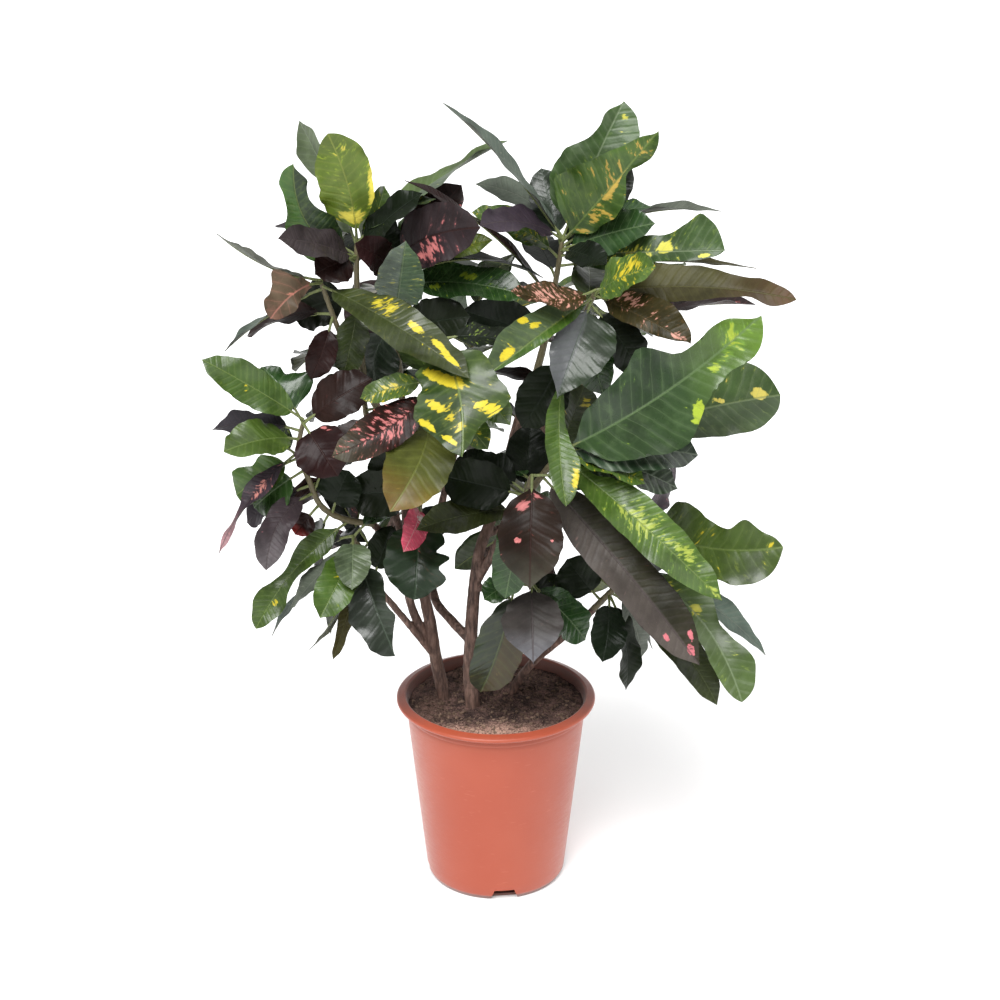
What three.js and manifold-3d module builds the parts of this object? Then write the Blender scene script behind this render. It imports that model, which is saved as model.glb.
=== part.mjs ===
// Potted croton: a branched bush with fiddle-shaped, waved leaves in a plastic nursery pot.
// Millimetres, +Z up. The origin is the centre of the pot's underside, and -Y is the front.

import * as THREE from 'three';
import * as BufferGeometryUtils from 'three/addons/utils/BufferGeometryUtils.js';
import Module from 'manifold-3d';

// Pot: a 24 cm nursery pot
const POT_HEIGHT = 240;
const RIM_RADIUS = 120;
const LIP_HEIGHT = 8;
const LIP_ROUNDING = 2;
const NECK_TAPER_HEIGHT = 4;
const NECK_RADIUS = 109;
const FOOT_RADIUS = 80.8;
const CHAMFER_HEIGHT = 8;
const CHAMFER_RADIUS = 84.7;
const POT_WALL = 2.4;
const POT_FLOOR = 3;
const POT_SIDES = 36;
const NOTCH_COUNT = 4;
const NOTCH_WIDTH = 29;
const NOTCH_HEIGHT = 14;
const NOTCH_DEPTH = 12;
const NOTCH_TURN = THREE.MathUtils.degToRad(7);

// Soil
const SOIL_TOP = 226;
const SOIL_CROWN = 3;
const SOIL_EDGE_DROP = 2;
const SEAT_GAP = 0.3;

// Stems
const WOODY_STEM_SIDES = 6;
const LEAFY_STEM_SIDES = 5;
const STALK_LENGTH = 17;
const STALK_RADIUS = 1.5;
const STALK_FLATNESS = 0.8;

// Leaf blades: a thin lozenge in section, thickest at the midrib
const BLADE_THICKNESS = 1.8;
const BLADE_STATIONS = [0, 0.22, 0.45, 0.66, 0.86, 1];
const WAISTED_STATIONS = [0, 0.17, 0.34, 0.5, 0.68, 0.87, 1];
const SHAPED_STATIONS = [0, 0.125, 0.25, 0.375, 0.5, 0.625, 0.75, 0.875, 1];
const SIMPLE_STATIONS = [0, 0.3, 0.7, 1];
const SIMPLE_UP_TO_WAVE = 3;
const TIP_WIDTH = 1.4;
const FOOT_TAPER = 0.6;
const TIP_TAPER = 0.68;
const TIP_ROUNDING = 0.6;
const WAISTED_FROM = 0.25;
const WAIST_PLACE = 0.5;
const WAIST_LENGTH = 0.14;
const WAVES_PER_EDGE = 1.6;
const WAVE_START = 4;
const WAVE_END = 5;
const RIGHT_EDGE_LAG = 2;
const EDGE_LIFT = 0.22;
const GOLDEN_ANGLE = THREE.MathUtils.degToRad(137.5);
const GOLDEN_STEP = 0.618034;

// Rule for the leaves that are hidden from the front, youngest to oldest
const YOUNGEST_PLACE = 0.98;
const OLDEST_PLACE = 0.32;
const SHORTEST_LENGTH = 0.78;
const LENGTH_RANGE = 0.4;
const LENGTH_STEP = 0.37;
const NARROWEST_WIDTH = 0.8;
const WIDTH_RANGE = 0.4;
const DEEPEST_WAIST = 0.35;
const WAIST_STEP = 0.41;
const BACK_ARCH = 10;
const BACK_WAVE = 4;

// Clearance kept between the leaves, and the sideways steps tried to reach it
const LEAF_CLEARANCE = 1.0;
const DEPTH_STEPS = [0, 8, -8, 16, -16, 24, -24, 34, -34, 44, -44, 56, -56, 70, -70];
const TURN_STEPS = [0, 7, -7, 14, -14, 21, -21, 28, -28, 36, -36, 44, -44, 52, -52];

// Places of stems and leaf tips are [x, y, z]: y is the true depth, and x and z are where the point is
// seen from EYE on the upright plane through the pot's axis.
const EYE = new THREE.Vector3(0, -2560, 1519);

// Each woody stem is a trunk with its limbs: places, radius at the foot and radius at the end
const WOODY_STEMS = {
  woody_stem_left: [
    [[[-62, 5, 190], [-63, 4, 232], [-72, 0, 283], [-79, -6, 336], [-88, -8, 380], [-102, -5, 439],
      [-108, -4, 500], [-128, -6, 580], [-152, -8, 645]], 8.5, 4.6],
    [[[-75, -2, 296], [-98, -15, 345], [-113, -24, 410], [-127, -30, 440], [-146, -38, 461]], 5.5, 4.2],
    [[[-75, -2, 290], [-100, -20, 325], [-122, -32, 354], [-146, -45, 385]], 4.6, 3.8],
    [[[-104, -5, 450], [-101, 15, 530], [-108, 20, 620]], 5, 4],
    [[[-98, -6, 425], [-94, -18, 444], [-91, -30, 466]], 4.8, 4],
    [[[-84, -7, 360], [-105, 40, 420], [-120, 70, 480], [-140, 95, 540]], 5, 4.2],
    [[[-118, 66, 470], [-132, 80, 440]], 4.2, 3.8],
  ],
  woody_stem_middle: [
    [[[-28, -18, 178], [-28, -20, 218], [-31, -18, 262], [-30, -17, 309], [-27, -14, 362], [-19, -10, 426],
      [-4, 0, 471], [11, 8, 528], [26, 14, 590], [46, 18, 650]], 9.5, 4.8],
    [[[-24, -12, 385], [5, -28, 439], [30, -55, 488]], 6, 4.6],
    [[[-30, -17, 309], [-54, 2, 336], [-72, 20, 362], [-76, 50, 420], [-60, 85, 500],
      [-40, 110, 580]], 6, 4.2],
    [[[20, 12, 565], [62, -16, 640]], 5, 4.4],
    [[[-14, -6, 445], [40, 20, 470], [100, 28, 490]], 5, 4.2],
    [[[8, 6, 515], [50, 50, 570], [95, 80, 630]], 5, 4.2],
    [[[-18, -10, 420], [12, 40, 440], [34, 80, 456]], 4.4, 3.8],
    [[[-24, -13, 378], [0, -34, 376]], 4.6, 3.8],
  ],
  woody_stem_right: [
    [[[18, 14, 196], [20, 14, 238], [43, 2, 278], [68, -14, 302], [98, -32, 330], [120, -46, 354]], 5.6, 4.2],
    [[[66, -12, 300], [80, 40, 350], [92, 70, 390]], 4.6, 3.8],
  ],
};

// Each leafy stem: its places, radius at the foot and radius at the end
const LEAFY_STEMS = {
  leafy_stem_top_left: [[[-152, -8, 645], [-156, -10, 690], [-157, -12, 745], [-156, -12, 803]], 4.4, 2.8],
  leafy_stem_upper_left: [[[-138, -8, 606], [-160, -24, 652], [-180, -32, 702], [-198, -40, 757]], 3.8, 2.6],
  leafy_stem_top_middle: [[[-108, 20, 616], [-113, 16, 700], [-112, 12, 782]], 4, 2.8],
  leafy_stem_top_right: [[[46, 18, 645], [57, 20, 692], [65, 20, 740], [75, 18, 806]], 4.6, 2.8],
  leafy_stem_upper_right: [[[61, -15, 637], [90, -42, 690], [114, -62, 748]], 4.2, 2.8],
  leafy_stem_centre: [[[-92, -28, 462], [-84, -56, 530], [-74, -90, 610], [-64, -122, 692]], 3.8, 2.6],
  leafy_stem_right: [[[28, -53, 484], [56, -86, 524], [76, -112, 552]], 4.4, 3],
  leafy_stem_front: [[[16, -38, 462], [32, -80, 490], [42, -110, 522]], 3.6, 2.8],
  leafy_stem_left: [[[-144, -37, 460], [-178, -50, 466], [-204, -62, 482], [-219, -70, 518],
    [-229, -76, 550], [-222, -80, 590]], 4, 2.6],
  leafy_stem_low_left: [[[-143, -43, 381], [-160, -56, 412], [-168, -62, 444]], 3.6, 2.6],
  leafy_stem_low_middle: [[[-3, -31, 376], [18, -52, 382], [42, -78, 388]], 3.6, 2.8],
  leafy_stem_low_right: [[[117, -44, 351], [146, -70, 382], [172, -90, 402]], 4, 2.8],
  leafy_stem_back_left: [[[-138, 92, 534], [-150, 112, 600], [-154, 124, 690]], 4, 2.8],
  leafy_stem_back_middle: [[[-41, 108, 574], [-30, 122, 650], [-26, 130, 720]], 4, 2.8],
  leafy_stem_back_right: [[[92, 78, 626], [122, 96, 670], [140, 104, 730]], 4, 2.8],
  leafy_stem_right_back: [[[96, 28, 489], [140, 18, 474], [176, 0, 458]], 4, 2.8],
  leafy_stem_low_back_left: [[[-129, 78, 444], [-150, 96, 420], [-166, 104, 440]], 3.6, 2.6],
  leafy_stem_low_back_middle: [[[32, 77, 455], [48, 104, 470], [58, 118, 492]], 3.6, 2.6],
  leafy_stem_low_back_right: [[[91, 68, 386], [112, 92, 420], [128, 100, 460]], 3.6, 2.6],
};

// Leaves seen from the front, by stem:
// [place along the stem 0-1, tip x, tip y, tip z, width, turn, arch, bow, waist, wave]
// turn is in degrees: 0 shows the upper face to EYE, plus turns it to the left hand of base to tip.
// A leaf with a shape of its own ends with its half widths at nine even places from foot to tip, on the
// left and on the right hand of base to tip, which then stand in for its width and waist.
const FRONT_LEAVES = {
  leafy_stem_right: [
    [1.0, 301, -150, 716, 112, 8, 12, -13, 0.35, 7,
      [3, 27, 34, 44, 55, 27, 22, 23, 0], [3, 33, 46, 59, 59, 37, 25, 28, 0]],
    [0.95, 327, -50, 620, 84, 18, 12, 4, 0.2, 5,
      [3, 20, 28, 30, 32, 38, 47, 42, 0], [3, 20, 28, 30, 32, 36, 40, 34, 0]],
    [0.97, 235, -104, 546, 70, 30, 12, 0, 0.1, 5],
    [0.93, 212, -152, 504, 56, 35, 14, 0, 0.1, 4],
    [0.9, 269, -196, 361, 56, 20, 12, 0, 0.1, 5],
    [0.45, 245, -206, 276, 64, 14, 16, 0, 0.15, 5],
    [0.1, 40, -20, 585, 50, 0, 8, 0, 0, 3],
  ],
  leafy_stem_top_left: [
    [0.97, -216, 62, 939, 52, 58, -8, 8, 0.35, 4],
    [1.0, -185, -34, 925, 62, 12, 6, -8, 0.05, 4,
      [3, 22, 30, 33, 30, 29, 28, 18, 0], [3, 14, 22, 28, 30, 31, 31, 24, 0]],
    [0.95, -124, 30, 866, 36, -40, 6, 0, 0.1, 3],
    [0.86, -224, -52, 891, 46, 16, 6, 22, 0.45, 4,
      [3, 20, 26, 26, 23, 14, 12, 16, 0], [3, 20, 28, 32, 31, 16, 13, 14, 0]],
    [0.88, -244, -66, 806, 42, -35, 8, 0, 0.1, 4],
    [0.9, -247, -14, 820, 42, -60, 8, 0, 0.2, 4],
    [0.9, -204, -62, 764, 48, -10, 6, 0, 0, 3],
    [0.98, 13, 62, 917, 52, 74, 8, 0, 0.15, 5],
    [0.93, -82, -24, 858, 40, 45, 6, 0, 0, 4],
    [0.66, -231, 2, 718, 60, -6, 4, 0, 0.15, 4],
    [0.6, -175, -42, 645, 40, 12, 10, 0, 0.1, 4],
  ],
  leafy_stem_upper_left: [
    [1.0, -312, -66, 811, 34, -84, -9, 0, 0.1, 3],
    [0.98, -256, -92, 712, 62, 5, 10, -9, 0.35, 5,
      [3, 6, 9, 10, 12, 15, 14, 11, 0], [3, 12, 12, 22, 36, 22, 18, 18, 0]],
    [0.94, -309, -76, 673, 28, -85, 8, 0, 0, 3],
    [0.75, -212, -60, 639, 34, 10, 10, 0, 0, 3],
    [0.96, -30, -176, 640, 58, 36, 10, 0, 0.1, 5],
  ],
  leafy_stem_top_middle: [
    [1.0, -17, -66, 818, 72, 16, 8, 8, 0.05, 4],
    [0.62, -101, -96, 803, 54, 0, 8, 0, 0, 2],
    [0.97, -38, 26, 867, 52, 14, 6, 0, 0.1, 4],
    [0.93, -3, -16, 804, 34, 34, 6, 0, 0.1, 3],
    [0.86, 53, -44, 760, 36, 84, 22, 0, 0, 3],
    [0.8, 34, -30, 738, 56, 42, 8, 6, 0.1, 4],
    [0.55, -134, -52, 625, 64, 0, 10, -14, 0.1, 4],
    [0.85, -124, 30, 846, 46, 20, 8, 6, 0, 4],
    [0.9, -158, -44, 800, 44, -20, 8, 0, 0.1, 4],
    [0.5, -29, -30, 714, 56, 10, 8, 0, 0.1, 3],
  ],
  leafy_stem_top_right: [
    [0.99, -58, 34, 959, 42, -76, 9, 0, 0.1, 3],
    [0.99, -18, -52, 820, 50, -58, 10, -6, 0.1, 4],
    [1.0, -23, 82, 868, 36, -38, 6, -14, 0.1, 3],
    [0.88, -27, 16, 836, 42, -40, 8, -6, 0.1, 4],
    [0.62, -101, -62, 872, 30, -82, 16, 0, 0, 3],
    [1.0, 140, 50, 961, 64, 0, 6, 2, 0.4, 5,
      [3, 28, 38, 40, 36, 20, 12, 12, 0], [3, 20, 28, 30, 30, 34, 36, 28, 0]],
    [0.98, 179, -34, 928, 74, 8, 8, -2, 0.5, 5,
      [3, 34, 52, 48, 38, 30, 20, 12, 0], [3, 18, 22, 27, 24, 4, 10, 13, 0]],
    [0.93, 178, -26, 823, 56, 30, 6, 0, 0, 3],
    [0.95, 251, 4, 837, 36, 80, 18, 0, 0, 3],
    [0.93, 125, -56, 776, 36, 30, 6, 0, 0.1, 3],
    [0.9, 257, -64, 792, 62, 18, 8, -2, 0.5, 4,
      [3, 14, 18, 20, 19, 20, 28, 38, 0], [3, 16, 20, 20, 16, 12, 13, 10, 0]],
    [0.84, 293, -30, 771, 30, 84, 8, 0, 0, 3],
    [0.93, 165, -40, 783, 24, 84, 14, 0, 0, 2],
    [0.35, -38, -10, 722, 56, 10, 8, 0, 0, 3],
    [0.9, 150, 60, 890, 50, 0, 6, 0, 0, 3],
    [0.95, 50, 70, 886, 44, 0, 6, 0, 0, 3],
  ],
  leafy_stem_upper_right: [
    [0.95, 340, -116, 734, 58, 30, 10, 6, 0.3, 5,
      [3, 18, 24, 26, 26, 18, 13, 13, 0], [3, 12, 16, 20, 21, 16, 7, 13, 0]],
    [0.93, 222, -130, 682, 54, 14, 10, 0, 0.15, 4,
      [3, 16, 22, 24, 25, 26, 24, 16, 0], [3, 12, 16, 16, 14, 12, 10, 6, 0]],
    [0.92, 180, -116, 773, 52, 40, 8, 0, 0.1, 4],
    [0.98, 17, -116, 745, 46, -50, -4, 10, 0.1, 4],
    [0.88, 70, -142, 615, 60, 0, 12, 0, 0.05, 3,
      [3, 30, 40, 42, 40, 34, 24, 12, 0], [3, 14, 20, 24, 26, 24, 18, 8, 0]],
    [0.78, 124, -100, 620, 50, -20, 10, 0, 0.1, 4],
    [0.84, 165, -84, 647, 50, 20, 10, 0, 0.1, 4],
    [0.9, -9, -158, 644, 60, -10, 10, 0, 0.2, 4,
      [3, 8, 10, 10, 10, 8, 6, 4, 0], [3, 14, 20, 24, 27, 28, 26, 18, 0]],
    [0.42, 82, -200, 482, 42, 12, 14, -14, 0.3, 4,
      [2, 2, 3, 6, 8, 12, 19, 17, 0], [2, 2, 4, 10, 16, 17, 14, 11, 0]],
    [0.3, 30, -70, 580, 58, 10, 10, 0, 0, 3],
  ],
  leafy_stem_centre: [
    [0.95, -39, -222, 544, 114, 4, 14, 10, 0.3, 6,
      [6, 34, 38, 44, 51, 50, 22, 10, 0], [8, 38, 38, 40, 46, 51, 46, 26, 0]],
    [0.89, 17, -186, 583, 46, 20, 12, 0, 0.1, 4],
    [0.6, -124, -196, 475, 74, 0, 12, 8, 0, 4],
    [0.73, -191, -140, 544, 50, -14, 10, 10, 0.05, 4],
    [0.78, -156, -110, 616, 30, -20, 8, 0, 0, 3],
    [0.71, -9, -146, 553, 38, 20, 10, 0, 0.1, 4],
    [0.04, -97, -110, 362, 78, 5, 14, 0, 0.2, 7,
      [3, 26, 30, 22, 36, 24, 34, 20, 0], [3, 26, 32, 36, 38, 38, 34, 22, 0]],
    [0.1, -109, -130, 424, 34, 20, 10, 0, 0.1, 3],
    [0.2, -172, -60, 500, 60, 10, 10, 0, 0.1, 3],
    [0.12, -141, -50, 551, 56, 10, 8, 0, 0.1, 3],
  ],
  leafy_stem_front: [
    [1.0, 40, -172, 373, 72, 0, 14, 0, 0.05, 3,
      [3, 22, 30, 35, 36, 34, 27, 12, 0], [3, 22, 30, 35, 36, 34, 27, 12, 0]],
    [0.75, 11, -124, 364, 50, 0, 12, 0, 0.1, 4],
    [0.3, -94, -120, 452, 44, -30, 10, 0, 0, 4],
    [0.6, -62, -70, 520, 60, 0, 8, 0, 0.1, 3],
  ],
  leafy_stem_left: [
    [1.0, -336, -94, 663, 46, -14, 8, 0, 0.1, 6],
    [0.98, -268, -50, 654, 66, -24, 8, 0, 0.1, 5,
      [3, 16, 20, 22, 22, 20, 18, 12, 0], [3, 24, 34, 34, 28, 18, 16, 10, 0]],
    [0.93, -328, -60, 577, 46, -60, 10, 0, 0.1, 4],
    [0.88, -316, -108, 550, 54, -38, 10, 0, 0.1, 4],
    [0.97, -142, -72, 640, 56, 20, 8, 0, 0.1, 4],
    [0.98, -184, -122, 520, 62, 0, 12, 0, 0, 4],
    [0.8, -327, -124, 422, 32, -45, 14, 0, 0.2, 4,
      [2, 10, 14, 13, 8, 6, 7, 5, 0], [2, 10, 14, 13, 8, 6, 7, 5, 0]],
    [0.76, -303, -72, 496, 50, -20, 10, 0, 0.3, 4],
    [0.66, -283, -92, 480, 52, -16, 8, 0, 0.1, 4],
    [0.55, -292, -58, 461, 50, -45, 8, 0, 0.1, 4],
    [0.5, -272, -122, 400, 40, -10, 12, -14, 0.2, 4],
    [0.42, -236, -82, 446, 30, -10, 6, 0, 0, 3],
    [0.16, -287, -112, 324, 40, -10, 10, -9, 0.4, 6,
      [3, 12, 14, 12, 9, 10, 17, 13, 0], [3, 14, 16, 14, 9, 12, 18, 14, 0]],
    [0.3, -171, -60, 527, 56, 10, 8, 0, 0.1, 3],
    [0.7, -217, -40, 490, 50, 10, 8, 0, 0.1, 3],
    [0.5, -188, -30, 570, 44, 0, 8, 0, 0, 3],
  ],
  leafy_stem_low_left: [
    [0.9, -245, -92, 350, 30, -50, 12, 10, 0, 3],
    [0.8, -210, -142, 338, 48, 0, 10, 0, 0.1, 4],
    [0.4, -196, -90, 283, 20, 30, 10, -6, 0, 3],
    [0.55, -224, -100, 296, 14, 75, 10, -5, 0, 2],
    [0.7, -121, -122, 288, 60, -10, 12, 0, 0.3, 5,
      [3, 16, 20, 17, 15, 18, 10, 3, 0], [3, 14, 22, 28, 34, 30, 24, 20, 0]],
    [1.0, -171, -122, 375, 42, 0, 10, 0, 0, 3],
    [1.0, -204, -36, 424, 26, -60, 6, 0, 0, 3],
    [0.7, -268, -64, 315, 20, -70, 12, 0, 0, 3],
    [0.1, -122, -10, 458, 38, 0, 6, 0, 0, 3],
  ],
  leafy_stem_low_middle: [
    [1.0, 45, -152, 277, 70, 0, 12, 0, 0, 3,
      [3, 20, 28, 33, 35, 32, 24, 10, 0], [3, 20, 28, 33, 35, 32, 24, 10, 0]],
    [0.5, -14, -90, 362, 34, -20, 6, 0, 0, 3],
    [0.6, -19, -72, 240, 66, 20, 14, 0, 0.1, 4],
    [0.9, 107, -64, 309, 50, 20, 10, 0, 0.1, 4],
  ],
  leafy_stem_low_right: [
    [0.98, 298, -194, 226, 72, 14, 16, 16, 0.2, 5,
      [3, 22, 30, 26, 16, 18, 26, 24, 0], [3, 12, 16, 18, 18, 18, 18, 14, 0]],
    [0.95, 324, -130, 289, 44, 58, 10, 8, 0, 3],
    [0.5, 268, -152, 222, 46, 20, 14, 6, 0.1, 4],
    [0.3, 157, -96, 243, 40, 50, 12, 0, 0, 4],
    [0.5, 175, -50, 287, 32, 20, 10, 0, 0, 3],
    [0.15, 84, -40, 415, 58, 10, 8, 0, 0, 3],
    [0.3, 128, -104, 280, 44, 20, 8, 0, 0, 3],
  ],
  leafy_stem_right_back: [
    [0.95, 339, -96, 430, 88, 6, 10, -16, 0.4, 6,
      [3, 40, 44, 38, 28, 24, 33, 20, 0], [3, 26, 30, 30, 32, 38, 42, 34, 0]],
  ],
};

// Leaves on the sides that are hidden from the front:
// [leaves, middle and spread of their angles round the stem, length, width, rise of the youngest and oldest]
// An angle of 0 points away from EYE, and angles run anticlockwise from above. All angles are in degrees.
const BACK_LEAVES = {
  leafy_stem_back_left: [8, -30, 220, 145, 54, 40, -25],
  leafy_stem_back_middle: [8, 0, 300, 160, 56, 45, -25],
  leafy_stem_back_right: [8, -10, 280, 160, 56, 40, -25],
  leafy_stem_right_back: [5, 20, 180, 105, 50, 10, -35],
  leafy_stem_low_back_left: [6, 20, 260, 130, 48, 20, -35],
  leafy_stem_low_back_middle: [6, 0, 300, 140, 50, 30, -35],
  leafy_stem_low_back_right: [6, -20, 240, 120, 50, 30, -20],
  leafy_stem_top_left: [4, 0, 170, 130, 46, 30, -30],
  leafy_stem_upper_left: [4, 20, 150, 120, 46, 10, -35],
  leafy_stem_top_middle: [5, 0, 180, 140, 52, 40, -30],
  leafy_stem_top_right: [4, 0, 180, 140, 52, 30, -35],
  leafy_stem_upper_right: [4, -10, 150, 130, 50, 10, -40],
  leafy_stem_centre: [4, 0, 180, 120, 50, 0, -40],
  leafy_stem_right: [4, -10, 170, 130, 52, 20, -40],
  leafy_stem_front: [3, 0, 180, 110, 46, 0, -40],
  leafy_stem_left: [4, 20, 170, 120, 46, 20, -40],
  leafy_stem_low_left: [3, 20, 180, 100, 42, 10, -40],
  leafy_stem_low_middle: [3, -70, 120, 100, 46, 10, -30],
  leafy_stem_low_right: [3, -10, 190, 120, 46, 10, -40],
};

const wasm = await Module();
wasm.setup();

// A closed geometry as a solid: only shared positions are kept
function toSolid(geometry) {
  const bare = geometry.clone();
  bare.deleteAttribute('normal');
  bare.deleteAttribute('uv');
  const merged = BufferGeometryUtils.mergeVertices(bare, 1e-4);
  return new wasm.Manifold(new wasm.Mesh({
    numProp: 3,
    vertProperties: new Float32Array(merged.attributes.position.array),
    triVerts: new Uint32Array(merged.index.array),
  }));
}

// A solid as a named mesh
function toMesh(name, solid, material) {
  const { vertProperties, triVerts } = solid.getMesh();
  const geometry = new THREE.BufferGeometry();
  geometry.setAttribute('position', new THREE.BufferAttribute(new Float32Array(vertProperties), 3));
  geometry.setIndex(new THREE.BufferAttribute(new Uint32Array(triVerts), 1));
  geometry.computeVertexNormals();
  const mesh = new THREE.Mesh(geometry, material);
  mesh.name = name;
  return mesh;
}

function finish(color, roughness) {
  return new THREE.MeshStandardMaterial({ color, roughness, metalness: 0 });
}

// A solid of revolution about Z from a closed [radius, height] profile
function turned(profile, sides) {
  const points = profile.map(([radius, height]) => new THREE.Vector2(radius, height));
  const geometry = new THREE.LatheGeometry(points, sides);
  geometry.rotateX(Math.PI / 2);
  return toSolid(geometry);
}

function seen([x, y, z]) {
  const scale = (y - EYE.y) / -EYE.y;
  return new THREE.Vector3(x * scale, y, EYE.z + (z - EYE.z) * scale);
}

// A solid skinned over rings of equal point counts. The quads of the second half of each ring are split
// the other way, so that the upper and lower face of a blade are split alike.
function skinned(rings) {
  const count = rings[0].length;
  const positions = rings.flat().flatMap((point) => [point.x, point.y, point.z]);
  const triangles = [];
  for (let ring = 0; ring + 1 < rings.length; ring += 1) {
    for (let side = 0; side < count; side += 1) {
      const next = (side + 1) % count;
      const a = ring * count + side;
      const b = ring * count + next;
      const c = (ring + 1) * count + next;
      const d = (ring + 1) * count + side;
      if (side < count / 2) triangles.push(a, b, c, a, c, d);
      else triangles.push(a, b, d, b, c, d);
    }
  }
  const last = (rings.length - 1) * count;
  for (let side = 1; side + 1 < count; side += 1) {
    triangles.push(0, side + 1, side);
    triangles.push(last, last + side, last + side + 1);
  }
  return new wasm.Manifold(new wasm.Mesh({
    numProp: 3,
    vertProperties: new Float32Array(positions),
    triVerts: new Uint32Array(triangles),
  }));
}

// A tapered round stem along a smooth curve through its places
function stemSolid([places, footRadius, endRadius], sides, extra = 0) {
  const curve = new THREE.CatmullRomCurve3(places.map(seen));
  const steps = places.length + 1;
  const rings = [];
  for (let step = 0; step <= steps; step += 1) {
    const along = step / steps;
    const centre = curve.getPoint(along);
    const forward = curve.getTangent(along);
    const across = new THREE.Vector3(0, -1, 0).cross(forward).normalize();
    const up = forward.clone().cross(across);
    const radius = THREE.MathUtils.lerp(footRadius, endRadius, along) + extra;
    const ring = [];
    for (let side = 0; side < sides; side += 1) {
      const angle = (2 * Math.PI * side) / sides;
      ring.push(centre.clone()
        .addScaledVector(across, radius * Math.cos(angle))
        .addScaledVector(up, radius * Math.sin(angle)));
    }
    rings.push(ring);
  }
  return skinned(rings);
}

// Half width of a blade, as a share of its largest, from its foot (0) to its tip (1).
// A blade with a waist also has a rounder tip.
function outline(along, waist) {
  const tipTaper = TIP_TAPER - TIP_ROUNDING * waist;
  const widest = FOOT_TAPER / (FOOT_TAPER + tipTaper);
  const belly = (along / widest) ** FOOT_TAPER * ((1 - along) / (1 - widest)) ** tipTaper;
  const notch = waist * Math.exp(-(((along - WAIST_PLACE) / WAIST_LENGTH) ** 2));
  return belly * (1 - notch);
}

// The rings of a leaf: its stalk, sunk to the stem's axis, then its waved blade
function leafRings(leaf, stations, extra = 0) {
  const chord = leaf.tip.clone().sub(leaf.base);
  const length = chord.length();
  const sideways = leaf.face.clone().cross(chord).normalize();
  const lift = leaf.face.clone().multiplyScalar(leaf.arch * 4 / 3)
    .addScaledVector(sideways, leaf.bow * 4 / 3);
  const curve = new THREE.CubicBezierCurve3(
    leaf.base,
    leaf.base.clone().addScaledVector(chord, 1 / 3).add(lift),
    leaf.base.clone().addScaledVector(chord, 2 / 3).add(lift),
    leaf.tip,
  );
  const stalk = STALK_LENGTH / length;
  const section = (along, [leftWidth, rightWidth], halfThickness, leftLift, rightLift) => {
    const centre = curve.getPoint(along);
    const forward = curve.getTangent(along);
    const left = leaf.face.clone().cross(forward).normalize();
    const normal = forward.clone().cross(left);
    return [
      [leftWidth, leftLift],
      [0, halfThickness],
      [-rightWidth, rightLift],
      [0, -halfThickness],
    ].map(([across, rise]) => centre.clone().addScaledVector(left, across).addScaledVector(normal, rise));
  };
  const stalkThickness = STALK_RADIUS * STALK_FLATNESS;
  const stalkWidth = STALK_RADIUS + extra;
  const rings = [section(0, [stalkWidth, stalkWidth], stalkThickness + extra, 0, 0)];
  for (const station of stations) {
    const narrowest = station < 0.5 ? STALK_RADIUS : TIP_WIDTH / 2;
    const even = leaf.width / 2 * outline(station, leaf.waist);
    const place = Math.round(station * (SHAPED_STATIONS.length - 1));
    const halfWidths = leaf.edges.map((edge) => Math.max(edge ? edge[place] : even, narrowest));
    const swell = leaf.wave * Math.min(1, station * WAVE_START) * Math.min(1, (1 - station) * WAVE_END);
    const angle = 2 * Math.PI * WAVES_PER_EDGE * station + leaf.phase;
    const folds = halfWidths.map((halfWidth) => EDGE_LIFT * halfWidth);
    const halfThickness = station === 0 ? stalkThickness : BLADE_THICKNESS / 2;
    rings.push(section(
      stalk + (1 - stalk) * station,
      halfWidths.map((halfWidth) => halfWidth + extra),
      halfThickness + extra,
      folds[0] + swell * Math.sin(angle),
      folds[1] + swell * Math.sin(angle + RIGHT_EDGE_LAG),
    ));
  }
  return rings;
}

// A leaf given by where its tip is seen, moved in depth by one of the steps
function frontLeaf(curve, row, number, step) {
  const [place, x, y, z, width, turn, arch, bow, waist, wave, leftEdge, rightEdge] = row;
  const base = curve.getPoint(place);
  const tip = seen([x, y + DEPTH_STEPS[step], z]);
  const along = tip.clone().sub(base).normalize();
  const towards = EYE.clone().sub(base);
  towards.addScaledVector(along, -towards.dot(along)).normalize();
  const left = towards.clone().cross(along);
  const angle = THREE.MathUtils.degToRad(turn);
  const face = towards.multiplyScalar(Math.cos(angle)).addScaledVector(left, Math.sin(angle));
  const edges = [leftEdge, rightEdge];
  return { base, tip, face, width, arch, bow, waist, wave, edges, phase: number * GOLDEN_ANGLE };
}

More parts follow.
